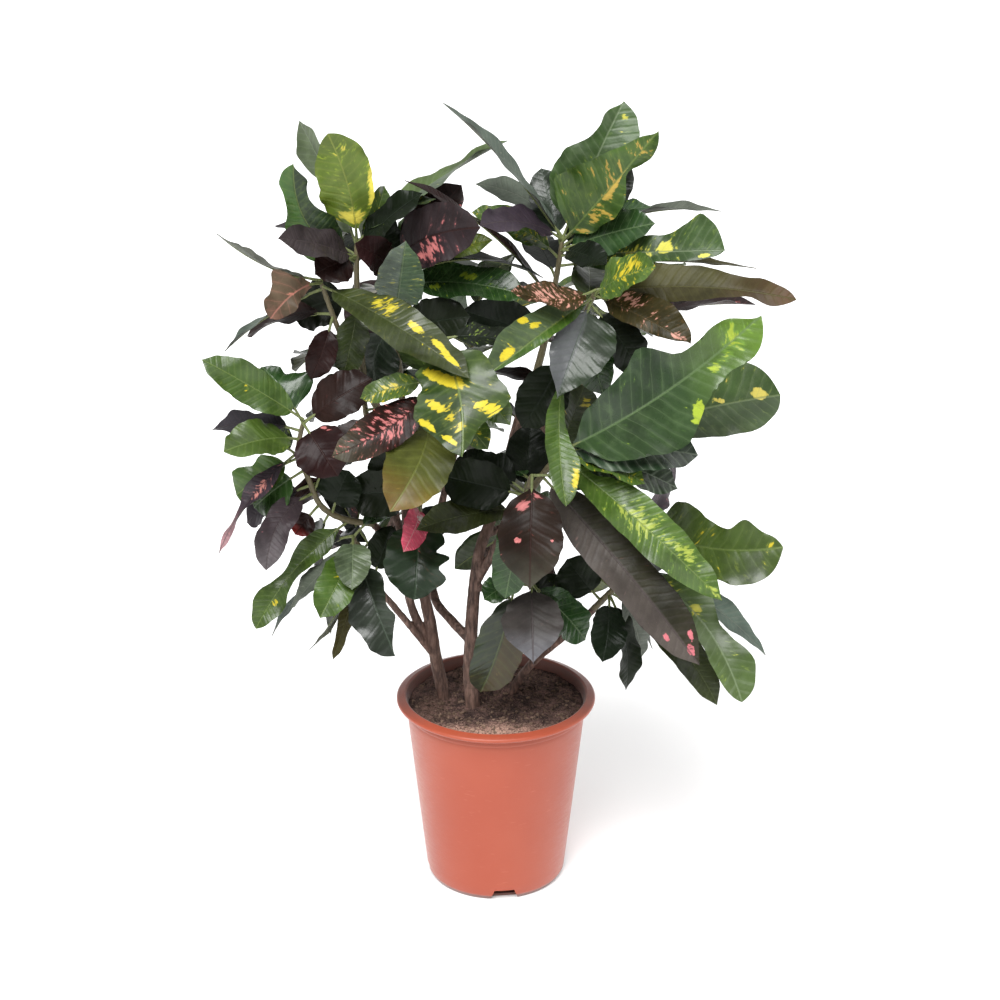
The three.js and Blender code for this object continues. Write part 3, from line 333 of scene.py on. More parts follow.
# Leaves seen from the front, by stem: (place along the stem 0-1, tip x, tip y, tip z, width, turn, arch, bow,
# waist, wave, look, share of speckles, blotches), and the last two may be left out. A blotch is (along 0-1,
# across -1 to 1, half length, half width, how solid it is, how far it leans), and here too the last two.
FRONT_LEAVES = {
    "right": [
        (1.0, 301, -150, 716, 112, 8, 12, -13, 0.35, 7, "forest", 0.12, [(0.86, 0.2, 0.12, 0.75, 0.62),
         (0.74, -0.35, 0.08, 0.3), (0.57, -0.85, 0.026, 0.16, 3), (0.42, -0.25, 0.02, 0.15)]),
        (0.95, 327, -50, 620, 84, 18, 12, 4, 0.2, 5, "fern", 0.2, [(0.55, 0.1, 0.026, 0.09, 3),
         (0.7, 0.1, 0.014, 0.08, 3), (0.9, 0.1, 0.026, 0.14, 3)]),
        (0.97, 235, -104, 546, 70, 30, 12, 0, 0.1, 5, "gloss"),
        (0.93, 212, -152, 504, 56, 35, 14, 0, 0.1, 4, "gloss"),
        (0.9, 269, -196, 361, 56, 20, 12, 0, 0.1, 5, "grass", 0.34, [(0.45, 0, 0.22, 0.8, 0.58),
         (0.7, 0.4, 0.14, 0.5, 0.56), (0.95, 0, 0.07, 0.6)]),
        (0.45, 245, -206, 276, 64, 14, 16, 0, 0.15, 5, "plum", 0.08, [(0.93, 0.2, 0.02, 0.26, 3),
         (0.82, -0.5, 0.012, 0.09, 3), (0.88, 0.6, 0.014, 0.14, 3)]),
        (0.1, 40, -20, 585, 50, 0, 8, 0, 0, 3, "night"),
    ],
    "top_left": [
        (0.97, -216, 62, 939, 52, 58, -8, 8, 0.35, 4, "sage"),
        (1.0, -185, -34, 925, 62, 12, 6, -8, 0.05, 4, "lime", 0.3, [(0.12, 0, 0.1, 1.0, 0.95),
         (0.42, -1, 0.22, 0.25, 1)]),
        (0.95, -124, 30, 866, 36, -40, 6, 0, 0.1, 3, "grass", 0.4),
        (0.86, -224, -52, 891, 46, 16, 6, 22, 0.45, 4, "grass"),
        (0.88, -244, -66, 806, 42, -35, 8, 0, 0.1, 4, "plum"),
        (0.9, -247, -14, 820, 42, -60, 8, 0, 0.2, 4, "plum"),
        (0.9, -204, -62, 764, 48, -10, 6, 0, 0, 3, "maroon"),
        (0.98, 13, 62, 917, 52, 74, 8, 0, 0.15, 5, "sage"),
        (0.93, -82, -24, 858, 40, 45, 6, 0, 0, 4, "night", 0.1),
        (0.66, -231, 2, 718, 60, -6, 4, 0, 0.15, 4, "night"),
        (0.6, -175, -42, 645, 40, 12, 10, 0, 0.1, 4, "moss", 0.1),
    ],
    "upper_left": [
        (1.0, -312, -66, 811, 34, -84, -9, 0, 0.1, 3, "ash"),
        (0.98, -256, -92, 712, 62, 5, 10, -9, 0.35, 5, "copper", 0, [(0.5, 0, 0.4, 0.15)]),
        (0.94, -309, -76, 673, 28, -85, 8, 0, 0, 3, "ash"),
        (0.75, -212, -60, 639, 34, 10, 10, 0, 0, 3, "maroon"),
        (0.96, -30, -176, 640, 58, 36, 10, 0, 0.1, 5, "moss", 0.2, [(0.34, 0.55, 0.13, 0.5, 0.74),
         (0.57, 0.4, 0.04, 0.13, 3), (0.75, 0.42, 0.05, 0.12, 3), (0.85, 0.22, 0.055, 0.13, 3),
         (0.72, 0.1, 0.1, 0.3, 0.5)]),
    ],
    "top_middle": [
        (1.0, -17, -66, 818, 72, 16, 8, 8, 0.05, 4, "maroon", 0.2, [(0.4, -0.5, 0.28, 0.5, 0.78),
         (0.6, 0.3, 0.2, 0.3, 0.45)]),
        (0.62, -101, -96, 803, 54, 0, 8, 0, 0, 2, "sage", 0.4),
        (0.97, -38, 26, 867, 52, 14, 6, 0, 0.1, 4, "maroon", 0.05, [(0.6, -0.95, 0.3, 0.25, 1)]),
        (0.93, -3, -16, 804, 34, 34, 6, 0, 0.1, 3, "lime", 0.3, [(0.5, 0, 0.3, 0.8, 0.5)]),
        (0.86, 53, -44, 760, 36, 84, 22, 0, 0, 3, "night"),
        (0.8, 34, -30, 738, 56, 42, 8, 6, 0.1, 4, "forest", 0.3, [(0.5, 0.4, 0.08, 0.3, 0.9),
         (0.25, -0.3, 0.06, 0.3, 0.8)]),
        (0.55, -134, -52, 625, 64, 0, 10, -14, 0.1, 4, "slate"),
        (0.85, -124, 30, 846, 46, 20, 8, 6, 0, 4, "night", 0.1),
        (0.9, -158, -44, 800, 44, -20, 8, 0, 0.1, 4, "maroon"),
        (0.5, -29, -30, 714, 56, 10, 8, 0, 0.1, 3, "night"),
    ],
    "top_right": [
        (0.99, -58, 34, 959, 42, -76, 9, 0, 0.1, 3, "ash"),
        (0.99, -18, -52, 820, 50, -58, 10, -6, 0.1, 4, "plum"),
        (1.0, -23, 82, 868, 36, -38, 6, -14, 0.1, 3, "ash"),
        (0.88, -27, 16, 836, 42, -40, 8, -6, 0.1, 4, "grass", 0.5),
        (0.62, -101, -62, 872, 30, -82, 16, 0, 0, 3, "maroon"),
        (1.0, 140, 50, 961, 64, 0, 6, 2, 0.4, 5, "sage", 0.2, [(0.9, -0.3, 0.04, 0.3)]),
        (0.98, 179, -34, 928, 74, 8, 8, -2, 0.5, 5, "grass", 0.5, [(0.5, -0.12, 0.17, 0.14, 0.95),
         (0.3, -0.4, 0.15, 0.5, 0.42), (0.85, 0, 0.1, 0.6, 0.35)]),
        (0.93, 178, -26, 823, 56, 30, 6, 0, 0, 3, "forest"),
        (0.95, 251, 4, 837, 36, 80, 18, 0, 0, 3, "ash"),
        (0.93, 125, -56, 776, 36, 30, 6, 0, 0.1, 3, "night"),
        (0.9, 257, -64, 792, 62, 18, 8, -2, 0.5, 4, "sage", 0.36, [(0.62, 0.2, 0.03, 0.3, 3),
         (0.88, -0.6, 0.026, 0.2, 3), (0.4, 0, 0.2, 0.9, 0.5)]),
        (0.84, 293, -30, 771, 30, 84, 8, 0, 0, 3, "umber"),
        (0.93, 165, -40, 783, 24, 84, 14, 0, 0, 2, "ash"),
        (0.35, -38, -10, 722, 56, 10, 8, 0, 0, 3, "night"),
        (0.9, 150, 60, 890, 50, 0, 6, 0, 0, 3, "slate"),
        (0.95, 50, 70, 886, 44, 0, 6, 0, 0, 3, "slate"),
    ],
    "upper_right": [
        (0.95, 340, -116, 734, 58, 30, 10, 6, 0.3, 5, "umber"),
        (0.93, 222, -130, 682, 54, 14, 10, 0, 0.15, 4, "salmon", 0.4, [(0.88, -0.1, 0.12, 0.5, 0.66),
         (0.25, 0.5, 0.2, 0.5, 0.56)]),
        (0.92, 180, -116, 773, 52, 40, 8, 0, 0.1, 4, "grass", 0.5, [(0.6, 0.3, 0.3, 0.5, 0.6)]),
        (0.98, 17, -116, 745, 46, -50, -4, 10, 0.1, 4, "salmon", 0.6, [(0.5, 0, 0.4, 0.8, 0.42)]),
        (0.88, 70, -142, 615, 60, 0, 12, 0, 0.05, 3, "slate"),
        (0.78, 124, -100, 620, 50, -20, 10, 0, 0.1, 4, "forest", 0.05),
        (0.84, 165, -84, 647, 50, 20, 10, 0, 0.1, 4, "night"),
        (0.9, -9, -158, 644, 60, -10, 10, 0, 0.2, 4, "grass", 0.2, [(0.8, -0.2, 0.055, 0.17, 3),
         (0.52, -0.85, 0.03, 0.14, 3), (0.47, -0.45, 0.03, 0.1, 3), (0.3, 0.2, 0.14, 0.6, 0.42)]),
        (0.42, 82, -200, 482, 42, 12, 14, -14, 0.3, 4, "grass", 0.05, [(0.85, 0.8, 0.12, 0.3, 0.95)]),
        (0.3, 30, -70, 580, 58, 10, 10, 0, 0, 3, "night"),
    ],
    "centre": [
        (0.95, -39, -222, 544, 114, 4, 14, 10, 0.3, 6, "grass", 0.36,
         [(0.26, -0.32, 0.12, 0.22, 2.6, 3.0), (0.56, -0.58, 0.06, 0.1, 2.2, 3.0),
         (0.58, 0.4, 0.026, 0.1, 2.6), (0.63, 0.68, 0.055, 0.085, 2.4, 4.2),
         (0.75, -0.82, 0.05, 0.08, 2.2, 1.0), (0.87, -0.5, 0.04, 0.16, 2.2, 4.0),
         (0.7, 0.2, 0.2, 0.8, 0.44)]),
        (0.89, 17, -186, 583, 46, 20, 12, 0, 0.1, 4, "grass", 0.3),
        (0.6, -124, -196, 475, 74, 0, 12, 8, 0, 4, "olive", 0.05),
        (0.73, -191, -140, 544, 50, -14, 10, 10, 0.05, 4, "maroon", 0.5, [(0.42, 0, 0.36, 0.9, 0.42)]),
        (0.78, -156, -110, 616, 30, -20, 8, 0, 0, 3, "grass", 0.5, [(0.5, 0, 0.3, 0.6, 0.5)]),
        (0.71, -9, -146, 553, 38, 20, 10, 0, 0.1, 4, "grass", 0.5),
        (0.04, -97, -110, 362, 78, 5, 14, 0, 0.2, 7, "berry", 0.04, [(0.3, 0.05, 0.12, 0.2, 0.75)]),
        (0.1, -109, -130, 424, 34, 20, 10, 0, 0.1, 3, "coral", 0.3, [(0.25, 0.4, 0.2, 0.6, 0.8)]),
        (0.2, -172, -60, 500, 60, 10, 10, 0, 0.1, 3, "night"),
        (0.12, -141, -50, 551, 56, 10, 8, 0, 0.1, 3, "night"),
    ],
    "front": [
        (1.0, 40, -172, 373, 72, 0, 14, 0, 0.05, 3, "maroon", 0.08, [(0.17, -0.35, 0.09, 0.4, 0.95),
         (0.08, 0.4, 0.07, 0.5, 0.9), (0.52, -0.4, 0.022, 0.09, 3), (0.52, 0.62, 0.014, 0.06, 3)]),
        (0.75, 11, -124, 364, 50, 0, 12, 0, 0.1, 4, "forest", 0.05),
        (0.3, -94, -120, 452, 44, -30, 10, 0, 0, 4, "moss"),
        (0.6, -62, -70, 520, 60, 0, 8, 0, 0.1, 3, "night"),
    ],
    "left": [
        (1.0, -336, -94, 663, 46, -14, 8, 0, 0.1, 6, "grass", 0.1, [(0.5, 0.2, 0.04, 0.3)]),
        (0.98, -268, -50, 654, 66, -24, 8, 0, 0.1, 5, "forest"),
        (0.93, -328, -60, 577, 46, -60, 10, 0, 0.1, 4, "plum"),
        (0.88, -316, -108, 550, 54, -38, 10, 0, 0.1, 4, "grass"),
        (0.97, -142, -72, 640, 56, 20, 8, 0, 0.1, 4, "maroon"),
        (0.98, -184, -122, 520, 62, 0, 12, 0, 0, 4, "maroon", 0, [(0.15, 0.8, 0.2, 0.2)]),
        (0.8, -327, -124, 422, 32, -45, 14, 0, 0.2, 4, "plum", 0.3, [(0.3, 0.2, 0.16, 0.7, 0.62)]),
        (0.76, -303, -72, 496, 50, -20, 10, 0, 0.3, 4, "grass"),
        (0.66, -283, -92, 480, 52, -16, 8, 0, 0.1, 4, "forest"),
        (0.55, -292, -58, 461, 50, -45, 8, 0, 0.1, 4, "plum"),
        (0.5, -272, -122, 400, 40, -10, 12, -14, 0.2, 4, "plum"),
        (0.42, -236, -82, 446, 30, -10, 6, 0, 0, 3, "maroon"),
        (0.16, -287, -112, 324, 40, -10, 10, -9, 0.4, 6, "grass", 0.06, [(0.75, 0.3, 0.05, 0.3)]),
        (0.3, -171, -60, 527, 56, 10, 8, 0, 0.1, 3, "night"),
        (0.7, -217, -40, 490, 50, 10, 8, 0, 0.1, 3, "maroon"),
        (0.5, -188, -30, 570, 44, 0, 8, 0, 0, 3, "night"),
    ],
    "low_left": [
        (0.9, -245, -92, 350, 30, -50, 12, 10, 0, 3, "ash"),
        (0.8, -210, -142, 338, 48, 0, 10, 0, 0.1, 4, "grass", 0.12, [(0.4, -0.2, 0.06, 0.3)]),
        (0.4, -196, -90, 283, 20, 30, 10, -6, 0, 3, "umber"),
        (0.55, -224, -100, 296, 14, 75, 10, -5, 0, 2, "ash"),
        (0.7, -121, -122, 288, 60, -10, 12, 0, 0.3, 5, "slate"),
        (1.0, -171, -122, 375, 42, 0, 10, 0, 0, 3, "sage", 0.05),
        (1.0, -204, -36, 424, 26, -60, 6, 0, 0, 3, "ash"),
        (0.7, -268, -64, 315, 20, -70, 12, 0, 0, 3, "ash"),
        (0.1, -122, -10, 458, 38, 0, 6, 0, 0, 3, "night"),
    ],
    "low_middle": [
        (1.0, 45, -152, 277, 70, 0, 12, 0, 0, 3, "plum"),
        (0.5, -14, -90, 362, 34, -20, 6, 0, 0, 3, "forest", 0.2),
        (0.6, -19, -72, 240, 66, 20, 14, 0, 0.1, 4, "moss"),
        (0.9, 107, -64, 309, 50, 20, 10, 0, 0.1, 4, "forest"),
    ],
    "low_right": [
        (0.98, 298, -194, 226, 72, 14, 16, 16, 0.2, 5, "sage", 0.1, [(0.35, 0.1, 0.08, 0.4, 0.8),
         (0.12, 0.3, 0.1, 0.5, 0.5)]),
        (0.95, 324, -130, 289, 44, 58, 10, 8, 0, 3, "ash"),
        (0.5, 268, -152, 222, 46, 20, 14, 6, 0.1, 4, "moss"),
        (0.3, 157, -96, 243, 40, 50, 12, 0, 0, 4, "night"),
        (0.5, 175, -50, 287, 32, 20, 10, 0, 0, 3, "ash"),
        (0.15, 84, -40, 415, 58, 10, 8, 0, 0, 3, "night"),
        (0.3, 128, -104, 280, 44, 20, 8, 0, 0, 3, "night"),
    ],
    "right_back": [
        (0.95, 339, -96, 430, 88, 6, 10, -16, 0.4, 6, "grass", 0.2, [(0.42, 0.5, 0.12, 0.5, 0.46),
         (0.62, -0.5, 0.12, 0.5, 0.42), (0.9, 0.2, 0.07, 0.5, 0.5)]),
    ],
}

# Leaves on the hidden sides: (leaves, middle and spread of their angles round the stem, length, width,
# rise of the youngest and of the oldest), angles in degrees
BACK_LEAVES = {
    "back_left": (8, -30, 220, 145, 54, 40, -25),
    "back_middle": (8, 0, 300, 160, 56, 45, -25),
    "back_right": (8, -10, 280, 160, 56, 40, -25),
    "right_back": (5, 20, 180, 105, 50, 10, -35),
    "low_back_left": (6, 20, 260, 130, 48, 20, -35),
    "low_back_middle": (6, 0, 300, 140, 50, 30, -35),
    "low_back_right": (6, -20, 240, 120, 50, 30, -20),
    "top_left": (4, 0, 170, 130, 46, 30, -30),
    "upper_left": (4, 20, 150, 120, 46, 10, -35),
    "top_middle": (5, 0, 180, 140, 52, 40, -30),
    "top_right": (4, 0, 180, 140, 52, 30, -35),
    "upper_right": (4, -10, 150, 130, 50, 10, -40),
    "centre": (4, 0, 180, 120, 50, 0, -40),
    "right": (4, -10, 170, 130, 52, 20, -40),
    "front": (3, 0, 180, 110, 46, 0, -40),
    "left": (4, 20, 170, 120, 46, 20, -40),
    "low_left": (3, 20, 180, 100, 42, 10, -40),
    "low_middle": (3, -70, 120, 100, 46, 10, -30),
    "low_right": (3, -10, 190, 120, 46, 10, -40),
}

# Extra detail of single leaves, by stem and row: half widths in mm at nine even places from foot to tip on
# the left and on the right, the upper colours of those halves, the colour towards the tip and of the
# blotches.
# On some leaves the halves' colours are painted light: painted sheen on one half, painted shade on the other
DETAILS = {
    ("centre", 0): {"halves": ((58, 84, 32), (49, 75, 29)), "left": [6, 34, 38, 44, 51, 50, 22, 10, 0],
        "right": [8, 38, 38, 40, 46, 51, 46, 26, 0]},
    ("centre", 2): {"tip": (134, 104, 42)},
    ("centre", 3): {"tip": (84, 80, 64)},
    ("centre", 6): {"left": [3, 26, 30, 22, 36, 24, 34, 20, 0],
        "right": [3, 26, 32, 36, 38, 38, 34, 22, 0]},
    ("front", 0): {"halves": ((44, 35, 27), (42, 33, 25)), "tip": (80, 78, 66),
        "left": [3, 22, 30, 35, 36, 34, 27, 12, 0], "right": [3, 22, 30, 35, 36, 34, 27, 12, 0]},
    ("left", 1): {"left": [3, 16, 20, 22, 22, 20, 18, 12, 0],
        "right": [3, 24, 34, 34, 28, 18, 16, 10, 0]},
    ("left", 6): {"mark": (236, 158, 148), "tip": (188, 146, 150), "left": [2, 10, 14, 13, 8, 6, 7, 5, 0],
        "right": [2, 10, 14, 13, 8, 6, 7, 5, 0]},
    ("left", 12): {"left": [3, 12, 14, 12, 9, 10, 17, 13, 0], "right": [3, 14, 16, 14, 9, 12, 18, 14, 0]},
    ("low_left", 4): {"left": [3, 16, 20, 17, 15, 18, 10, 3, 0],
        "right": [3, 14, 22, 28, 34, 30, 24, 20, 0]},
    ("low_middle", 0): {"halves": ((70, 66, 67), (66, 62, 63)), "tip": (122, 122, 127),
        "left": [3, 20, 28, 33, 35, 32, 24, 10, 0], "right": [3, 20, 28, 33, 35, 32, 24, 10, 0]},
    ("low_right", 0): {"halves": ((78, 104, 47), (84, 108, 56)),
        "left": [3, 22, 30, 26, 16, 18, 26, 24, 0], "right": [3, 12, 16, 18, 18, 18, 18, 14, 0]},
    ("right", 0): {"halves": ((40, 66, 34), (48, 76, 38)), "mark": (174, 196, 64), "tip": (104, 138, 48),
        "left": [3, 27, 34, 44, 55, 27, 22, 23, 0], "right": [3, 33, 46, 59, 59, 37, 25, 28, 0]},
    ("right", 1): {"halves": ((70, 94, 42), (66, 88, 40)), "left": [3, 20, 28, 30, 32, 38, 47, 42, 0],
        "right": [3, 20, 28, 30, 32, 36, 40, 34, 0]},
    ("right_back", 0): {"left": [3, 40, 44, 38, 28, 24, 33, 20, 0],
        "right": [3, 26, 30, 30, 32, 38, 42, 34, 0]},
    ("top_left", 1): {"left": [3, 22, 30, 33, 30, 29, 28, 18, 0],
        "right": [3, 14, 22, 28, 30, 31, 31, 24, 0]},
    # Painted light: the left half is painted lit and the right half painted in shade
    ("top_left", 3): {"halves": ((70, 114, 42), (40, 66, 30)), "left": [3, 20, 26, 26, 23, 14, 12, 16, 0],
        "right": [3, 20, 28, 32, 31, 16, 13, 14, 0]},
    ("top_right", 5): {"halves": ((64, 90, 44), (68, 94, 48)), "left": [3, 28, 38, 40, 36, 20, 12, 12, 0],
        "right": [3, 20, 28, 30, 30, 34, 36, 28, 0]},
    ("top_right", 6): {"halves": ((64, 88, 31), (60, 84, 29)), "mark": (198, 168, 74),
        "left": [3, 34, 52, 48, 38, 30, 20, 12, 0], "right": [3, 18, 22, 27, 24, 4, 10, 13, 0]},
    ("top_right", 10): {"halves": ((64, 88, 42), (60, 84, 40)),
        "left": [3, 14, 18, 20, 19, 20, 28, 38, 0], "right": [3, 16, 20, 20, 16, 12, 13, 10, 0]},
    ("upper_left", 1): {"left": [3, 6, 9, 10, 12, 15, 14, 11, 0],
        "right": [3, 12, 12, 22, 36, 22, 18, 18, 0]},
    ("upper_right", 0): {"halves": ((78, 76, 44), (66, 62, 36)), "tip": (92, 70, 50),
        "left": [3, 18, 24, 26, 26, 18, 13, 13, 0], "right": [3, 12, 16, 20, 21, 16, 7, 13, 0]},
    ("upper_right", 1): {"left": [3, 16, 22, 24, 25, 26, 24, 16, 0],
        "right": [3, 12, 16, 16, 14, 12, 10, 6, 0]},
    # The right half's blue-grey is painted sheen
    ("upper_right", 4): {"halves": ((44, 58, 36), (106, 108, 110)),
        "left": [3, 30, 40, 42, 40, 34, 24, 12, 0], "right": [3, 14, 20, 24, 26, 24, 18, 8, 0]},
    ("upper_right", 7): {"halves": ((66, 96, 34), (80, 96, 66)), "left": [3, 8, 10, 10, 10, 8, 6, 4, 0],
        "right": [3, 14, 20, 24, 27, 28, 26, 18, 0]},
    ("upper_right", 8): {"left": [2, 2, 3, 6, 8, 12, 19, 17, 0],
        "right": [2, 2, 4, 10, 16, 17, 14, 11, 0]},
    # The right half's purple-grey is painted sheen, and the left half is dark
    ("right", 5): {"halves": ((50, 48, 34), (88, 80, 76))},
    ("top_left", 7): {"halves": ((92, 108, 60), (110, 118, 104))},
    ("right", 4): {"mark": (176, 192, 80)},
    ("top_middle", 0): {"halves": ((62, 54, 55), (54, 46, 48))},
    # The left half's pale grey-green is a painted highlight
    ("top_middle", 1): {"halves": ((112, 132, 114), (80, 110, 76))},
    ("low_middle", 2): {"halves": ((70, 56, 34), (46, 52, 40))},
    ("low_left", 5): {"halves": ((92, 100, 76), (76, 84, 64))},
    ("left", 10): {"tip": (104, 98, 100)},
    ("left", 11): {"tip": (150, 50, 45)},
}


def linear(rgb):
    """sRGB 0-255 to linear colour"""
    share = np.asarray(rgb, float) / 255
    return np.where(share <= 0.04045, share / 12.92, ((share + 0.055) / 1.055) ** 2.4)


def paint(*rgb):
    """sRGB 0-255 to the value of a colour socket"""
    return (*linear(rgb), 1)


def unit(vector):
    return vector / np.linalg.norm(vector, axis=-1, keepdims=True)


def seen(place):
    """The true place, in mm, of a point given by its depth and by where it is seen from EYE"""
    x, y, z = place
    scale = (y - EYE[1]) / -EYE[1]
    return np.array([x * scale, y, EYE[2] + (z - EYE[2]) * scale])


class Curve:
    """A centripetal Catmull-Rom curve through places of the tables"""

    def __init__(self, places):
        inner = np.array([seen(place) for place in places])
        first = 2 * inner[0] - inner[1]
        last = 2 * inner[-1] - inner[-2]
        self.points = np.vstack([first, inner, last])
        self.spans = len(inner) - 1

    def at(self, along):
        place = min(max(along, 0.0), 1.0) * self.spans
        span = min(int(place), self.spans - 1)
        t = place - span
        p0, p1, p2, p3 = self.points[span:span + 4]
        d0, d1, d2 = (np.linalg.norm(b - a) ** 0.5 for a, b in ((p0, p1), (p1, p2), (p2, p3)))
        leave = ((p1 - p0) / d0 - (p2 - p0) / (d0 + d1) + (p2 - p1) / d1) * d1
        arrive = ((p2 - p1) / d1 - (p3 - p1) / (d1 + d2) + (p3 - p2) / d2) * d1
        c2 = -3 * p1 + 3 * p2 - 2 * leave - arrive
        c3 = 2 * p1 - 2 * p2 + leave + arrive
        return p1 + leave * t + c2 * t * t + c3 * t ** 3

    def tangent(self, along):
        return unit(self.at(along + SMALL) - self.at(along - SMALL))


def turned_about(vector, axis, angle):
    """vector turned about a unit axis"""
    return (vector * math.cos(angle) + np.cross(axis, vector) * math.sin(angle)
            + axis * np.dot(axis, vector) * (1 - math.cos(angle)))


def front_leaf(curve, row, number, step):
    """The leaf of a front row, with its tip moved in depth by one of the steps"""
    place, x, y, z, width, turn, arch, bow, waist, wave = row[:10]
    base = curve.at(place)
    tip = seen((x, y + DEPTH_STEPS[step], z))
    along = unit(tip - base)
    towards = EYE - base
    towards = unit(towards - along * np.dot(towards, along))
    left = np.cross(towards, along)
    angle = math.radians(turn)
    face = towards * math.cos(angle) + left * math.sin(angle)
    return dict(base=base, tip=tip, face=face, width=width, arch=arch, bow=bow, waist=waist, wave=wave,
                phase=number * GOLDEN_ANGLE)


def back_leaf(curve, row, number, step):
    """A leaf placed round its stem by golden steps"""
    leaves, middle, spread, length, width, young_rise, old_rise = row
    age = number / (leaves - 1)
    vary = (number * GOLDEN_STEP) % 1
    place = YOUNGEST_PLACE + (OLDEST_PLACE - YOUNGEST_PLACE) * age
    base = curve.at(place)
    stem = curve.tangent(place)
    away = unit(np.array([0.0, 1.0, 0.0]) - stem * stem[1])
    outward = turned_about(away, stem, math.radians(middle + spread * (vary - 0.5) + TURN_STEPS[step]))
    rise = math.radians(young_rise + (old_rise - young_rise) * age)
    reach = length * (SHORTEST_LENGTH + LENGTH_RANGE * ((number * LENGTH_STEP) % 1))
    tip = base + outward * reach * math.cos(rise) + stem * reach * math.sin(rise)
    along = unit(tip - base)
    face = unit(stem - along * np.dot(stem, along))
    return dict(base=base, tip=tip, face=face, width=width * (NARROWEST_WIDTH + WIDTH_RANGE * vary),
                arch=BACK_ARCH, bow=0, waist=DEEPEST_WAIST * ((number * WAIST_STEP) % 1), wave=BACK_WAVE,
                phase=number * GOLDEN_ANGLE)


def smooth_through(values, stations):
    """Even values joined by a smooth curve, read at the stations"""
    values = np.asarray(values, float)
    place = np.clip(stations, 0, 1) * (len(values) - 1)
    span = np.minimum(place.astype(int), len(values) - 2)
    t = place - span
    slopes = np.gradient(values)
    slopes[0] = 0
    is_drawn_out = values[-2] < DRAWN_OUT_BELOW * values.max()
    slopes[-1] = 0 if is_drawn_out else -BLUNT_TIP_SLOPE * values[-2]
    v0, v1, m0, m1 = values[span], values[span + 1], slopes[span], slopes[span + 1]
    return ((2 * t ** 3 - 3 * t ** 2 + 1) * v0 + (t ** 3 - 2 * t ** 2 + t) * m0
            + (-2 * t ** 3 + 3 * t ** 2) * v1 + (t ** 3 - t ** 2) * m1)


def outline(stations, waist):
    """Half width of a blade, as a share of its largest, from its foot to its tip"""
    tip_taper = TIP_TAPER - TIP_ROUNDING * waist
    widest = FOOT_TAPER / (FOOT_TAPER + tip_taper)
    belly = (stations / widest) ** FOOT_TAPER * ((1 - stations) / (1 - widest)) ** tip_taper
    notch = waist * np.exp(-(((stations - WAIST_PLACE) / WAIST_LENGTH) ** 2))
    return belly * (1 - notch)


def bezier(leaf, along):
    """Centre, forward, left and normal of a leaf's curve at the shares along it"""
    chord = leaf["tip"] - leaf["base"]
    sideways = unit(np.cross(leaf["face"], chord))
    lift = leaf["face"] * (leaf["arch"] * 4 / 3) + sideways * (leaf["bow"] * 4 / 3)
    p0, p3 = leaf["base"], leaf["tip"]
    p1 = p0 + chord / 3 + lift
    p2 = p0 + chord * 2 / 3 + lift
    t = np.asarray(along)[:, None]
    centre = (1 - t) ** 3 * p0 + 3 * (1 - t) ** 2 * t * p1 + 3 * (1 - t) * t ** 2 * p2 + t ** 3 * p3
    forward = unit(3 * (1 - t) ** 2 * (p1 - p0) + 6 * (1 - t) * t * (p2 - p1) + 3 * t ** 2 * (p3 - p2))
    left = unit(np.cross(leaf["face"], forward))
    return centre, forward, left, np.cross(forward, left)


def skin(points, material, cap, **read):
    """A closed tube of rings of points in mm, and what its material reads at every point"""
    values = {name: np.broadcast_to(read.get(name, 0.0), points.shape) for name in READ_VECTORS}
    values.update({name: np.broadcast_to(read.get(name, 0.0), points.shape[:2]) for name in READ_NUMBERS})
    return dict(points=points * MM, material=material, cap=cap, **values)


def edge_of(leaf, detail, side, stations):
    """Half width at the stations on a blade's left, side 0, or on its right, side 1"""
    name = ("left", "right")[side]
    if name in detail:
        edge = smooth_through(detail[name], stations)
    else:
        edge = leaf["width"] / 2 * outline(np.clip(stations, SMALL, 1 - SMALL), leaf["waist"])
        edge = edge * np.minimum(1, (1 - stations) / POINT_LENGTH) ** POINT_SHARPNESS
    phase = leaf["phase"] + side * SIDE_PHASE
    wobble = sum(share * np.sin(2 * np.pi * count * stations + lag * phase)
                 for count, share, lag in WOBBLES)
    least = np.where(stations < 0.5, STALK_RADIUS * (1 - stations), THINNEST_EDGE)
    return np.maximum(edge * (1 + EDGE_WOBBLE * wobble), least)


def blade_colour(look, detail, seed, stations, ring_across, ring_side):
    """Base colour: the upper side's halves, on some leaves with painted sheen and painted shade, its tip and
    the underside
    """
    tint = 1 + TINT_RANGE * np.sin(seed * np.array(TINT_TURNS))
    upper, under = LOOKS[look][0], LOOKS[look][3]
    left, right = (linear(half) for half in detail.get("halves", (upper, upper)))
    is_left = (ring_across > 0)[None, :, None]
    colour = np.broadcast_to(np.where(is_left, left, right) * UPPER_DEPTH * tint,
                             (len(stations), len(ring_across), 3))
    if "tip" in detail:
        share = np.clip((stations - TIP_COLOUR_FROM) / TIP_COLOUR_LENGTH, 0, 1)[:, None, None]
        colour = colour * (1 - share) + linear(detail["tip"]) * UPPER_DEPTH * share
    return np.where((ring_side < 0)[None, :, None], linear(under) * UNDER_DEPTH, colour)


def blotched(blotches, stations, ring_across, ring_side):
    """How likely a blotch is at every point of a blade"""
    patch = np.zeros((len(stations), len(ring_across)))
    for blotch in blotches:
        along, place, half_length, half_width, solid, lean = blotch + PLAIN_BLOTCH[len(blotch) - 4:]
        ahead = stations[:, None] - along
        aside = ring_across - place - lean * ahead
        patch = np.maximum(patch, solid * np.exp(-(ahead / half_length) ** 2 - (aside / half_width) ** 2))
    return np.where(ring_side < 0, np.minimum(patch, 1) * UNDER_PATCH, patch)


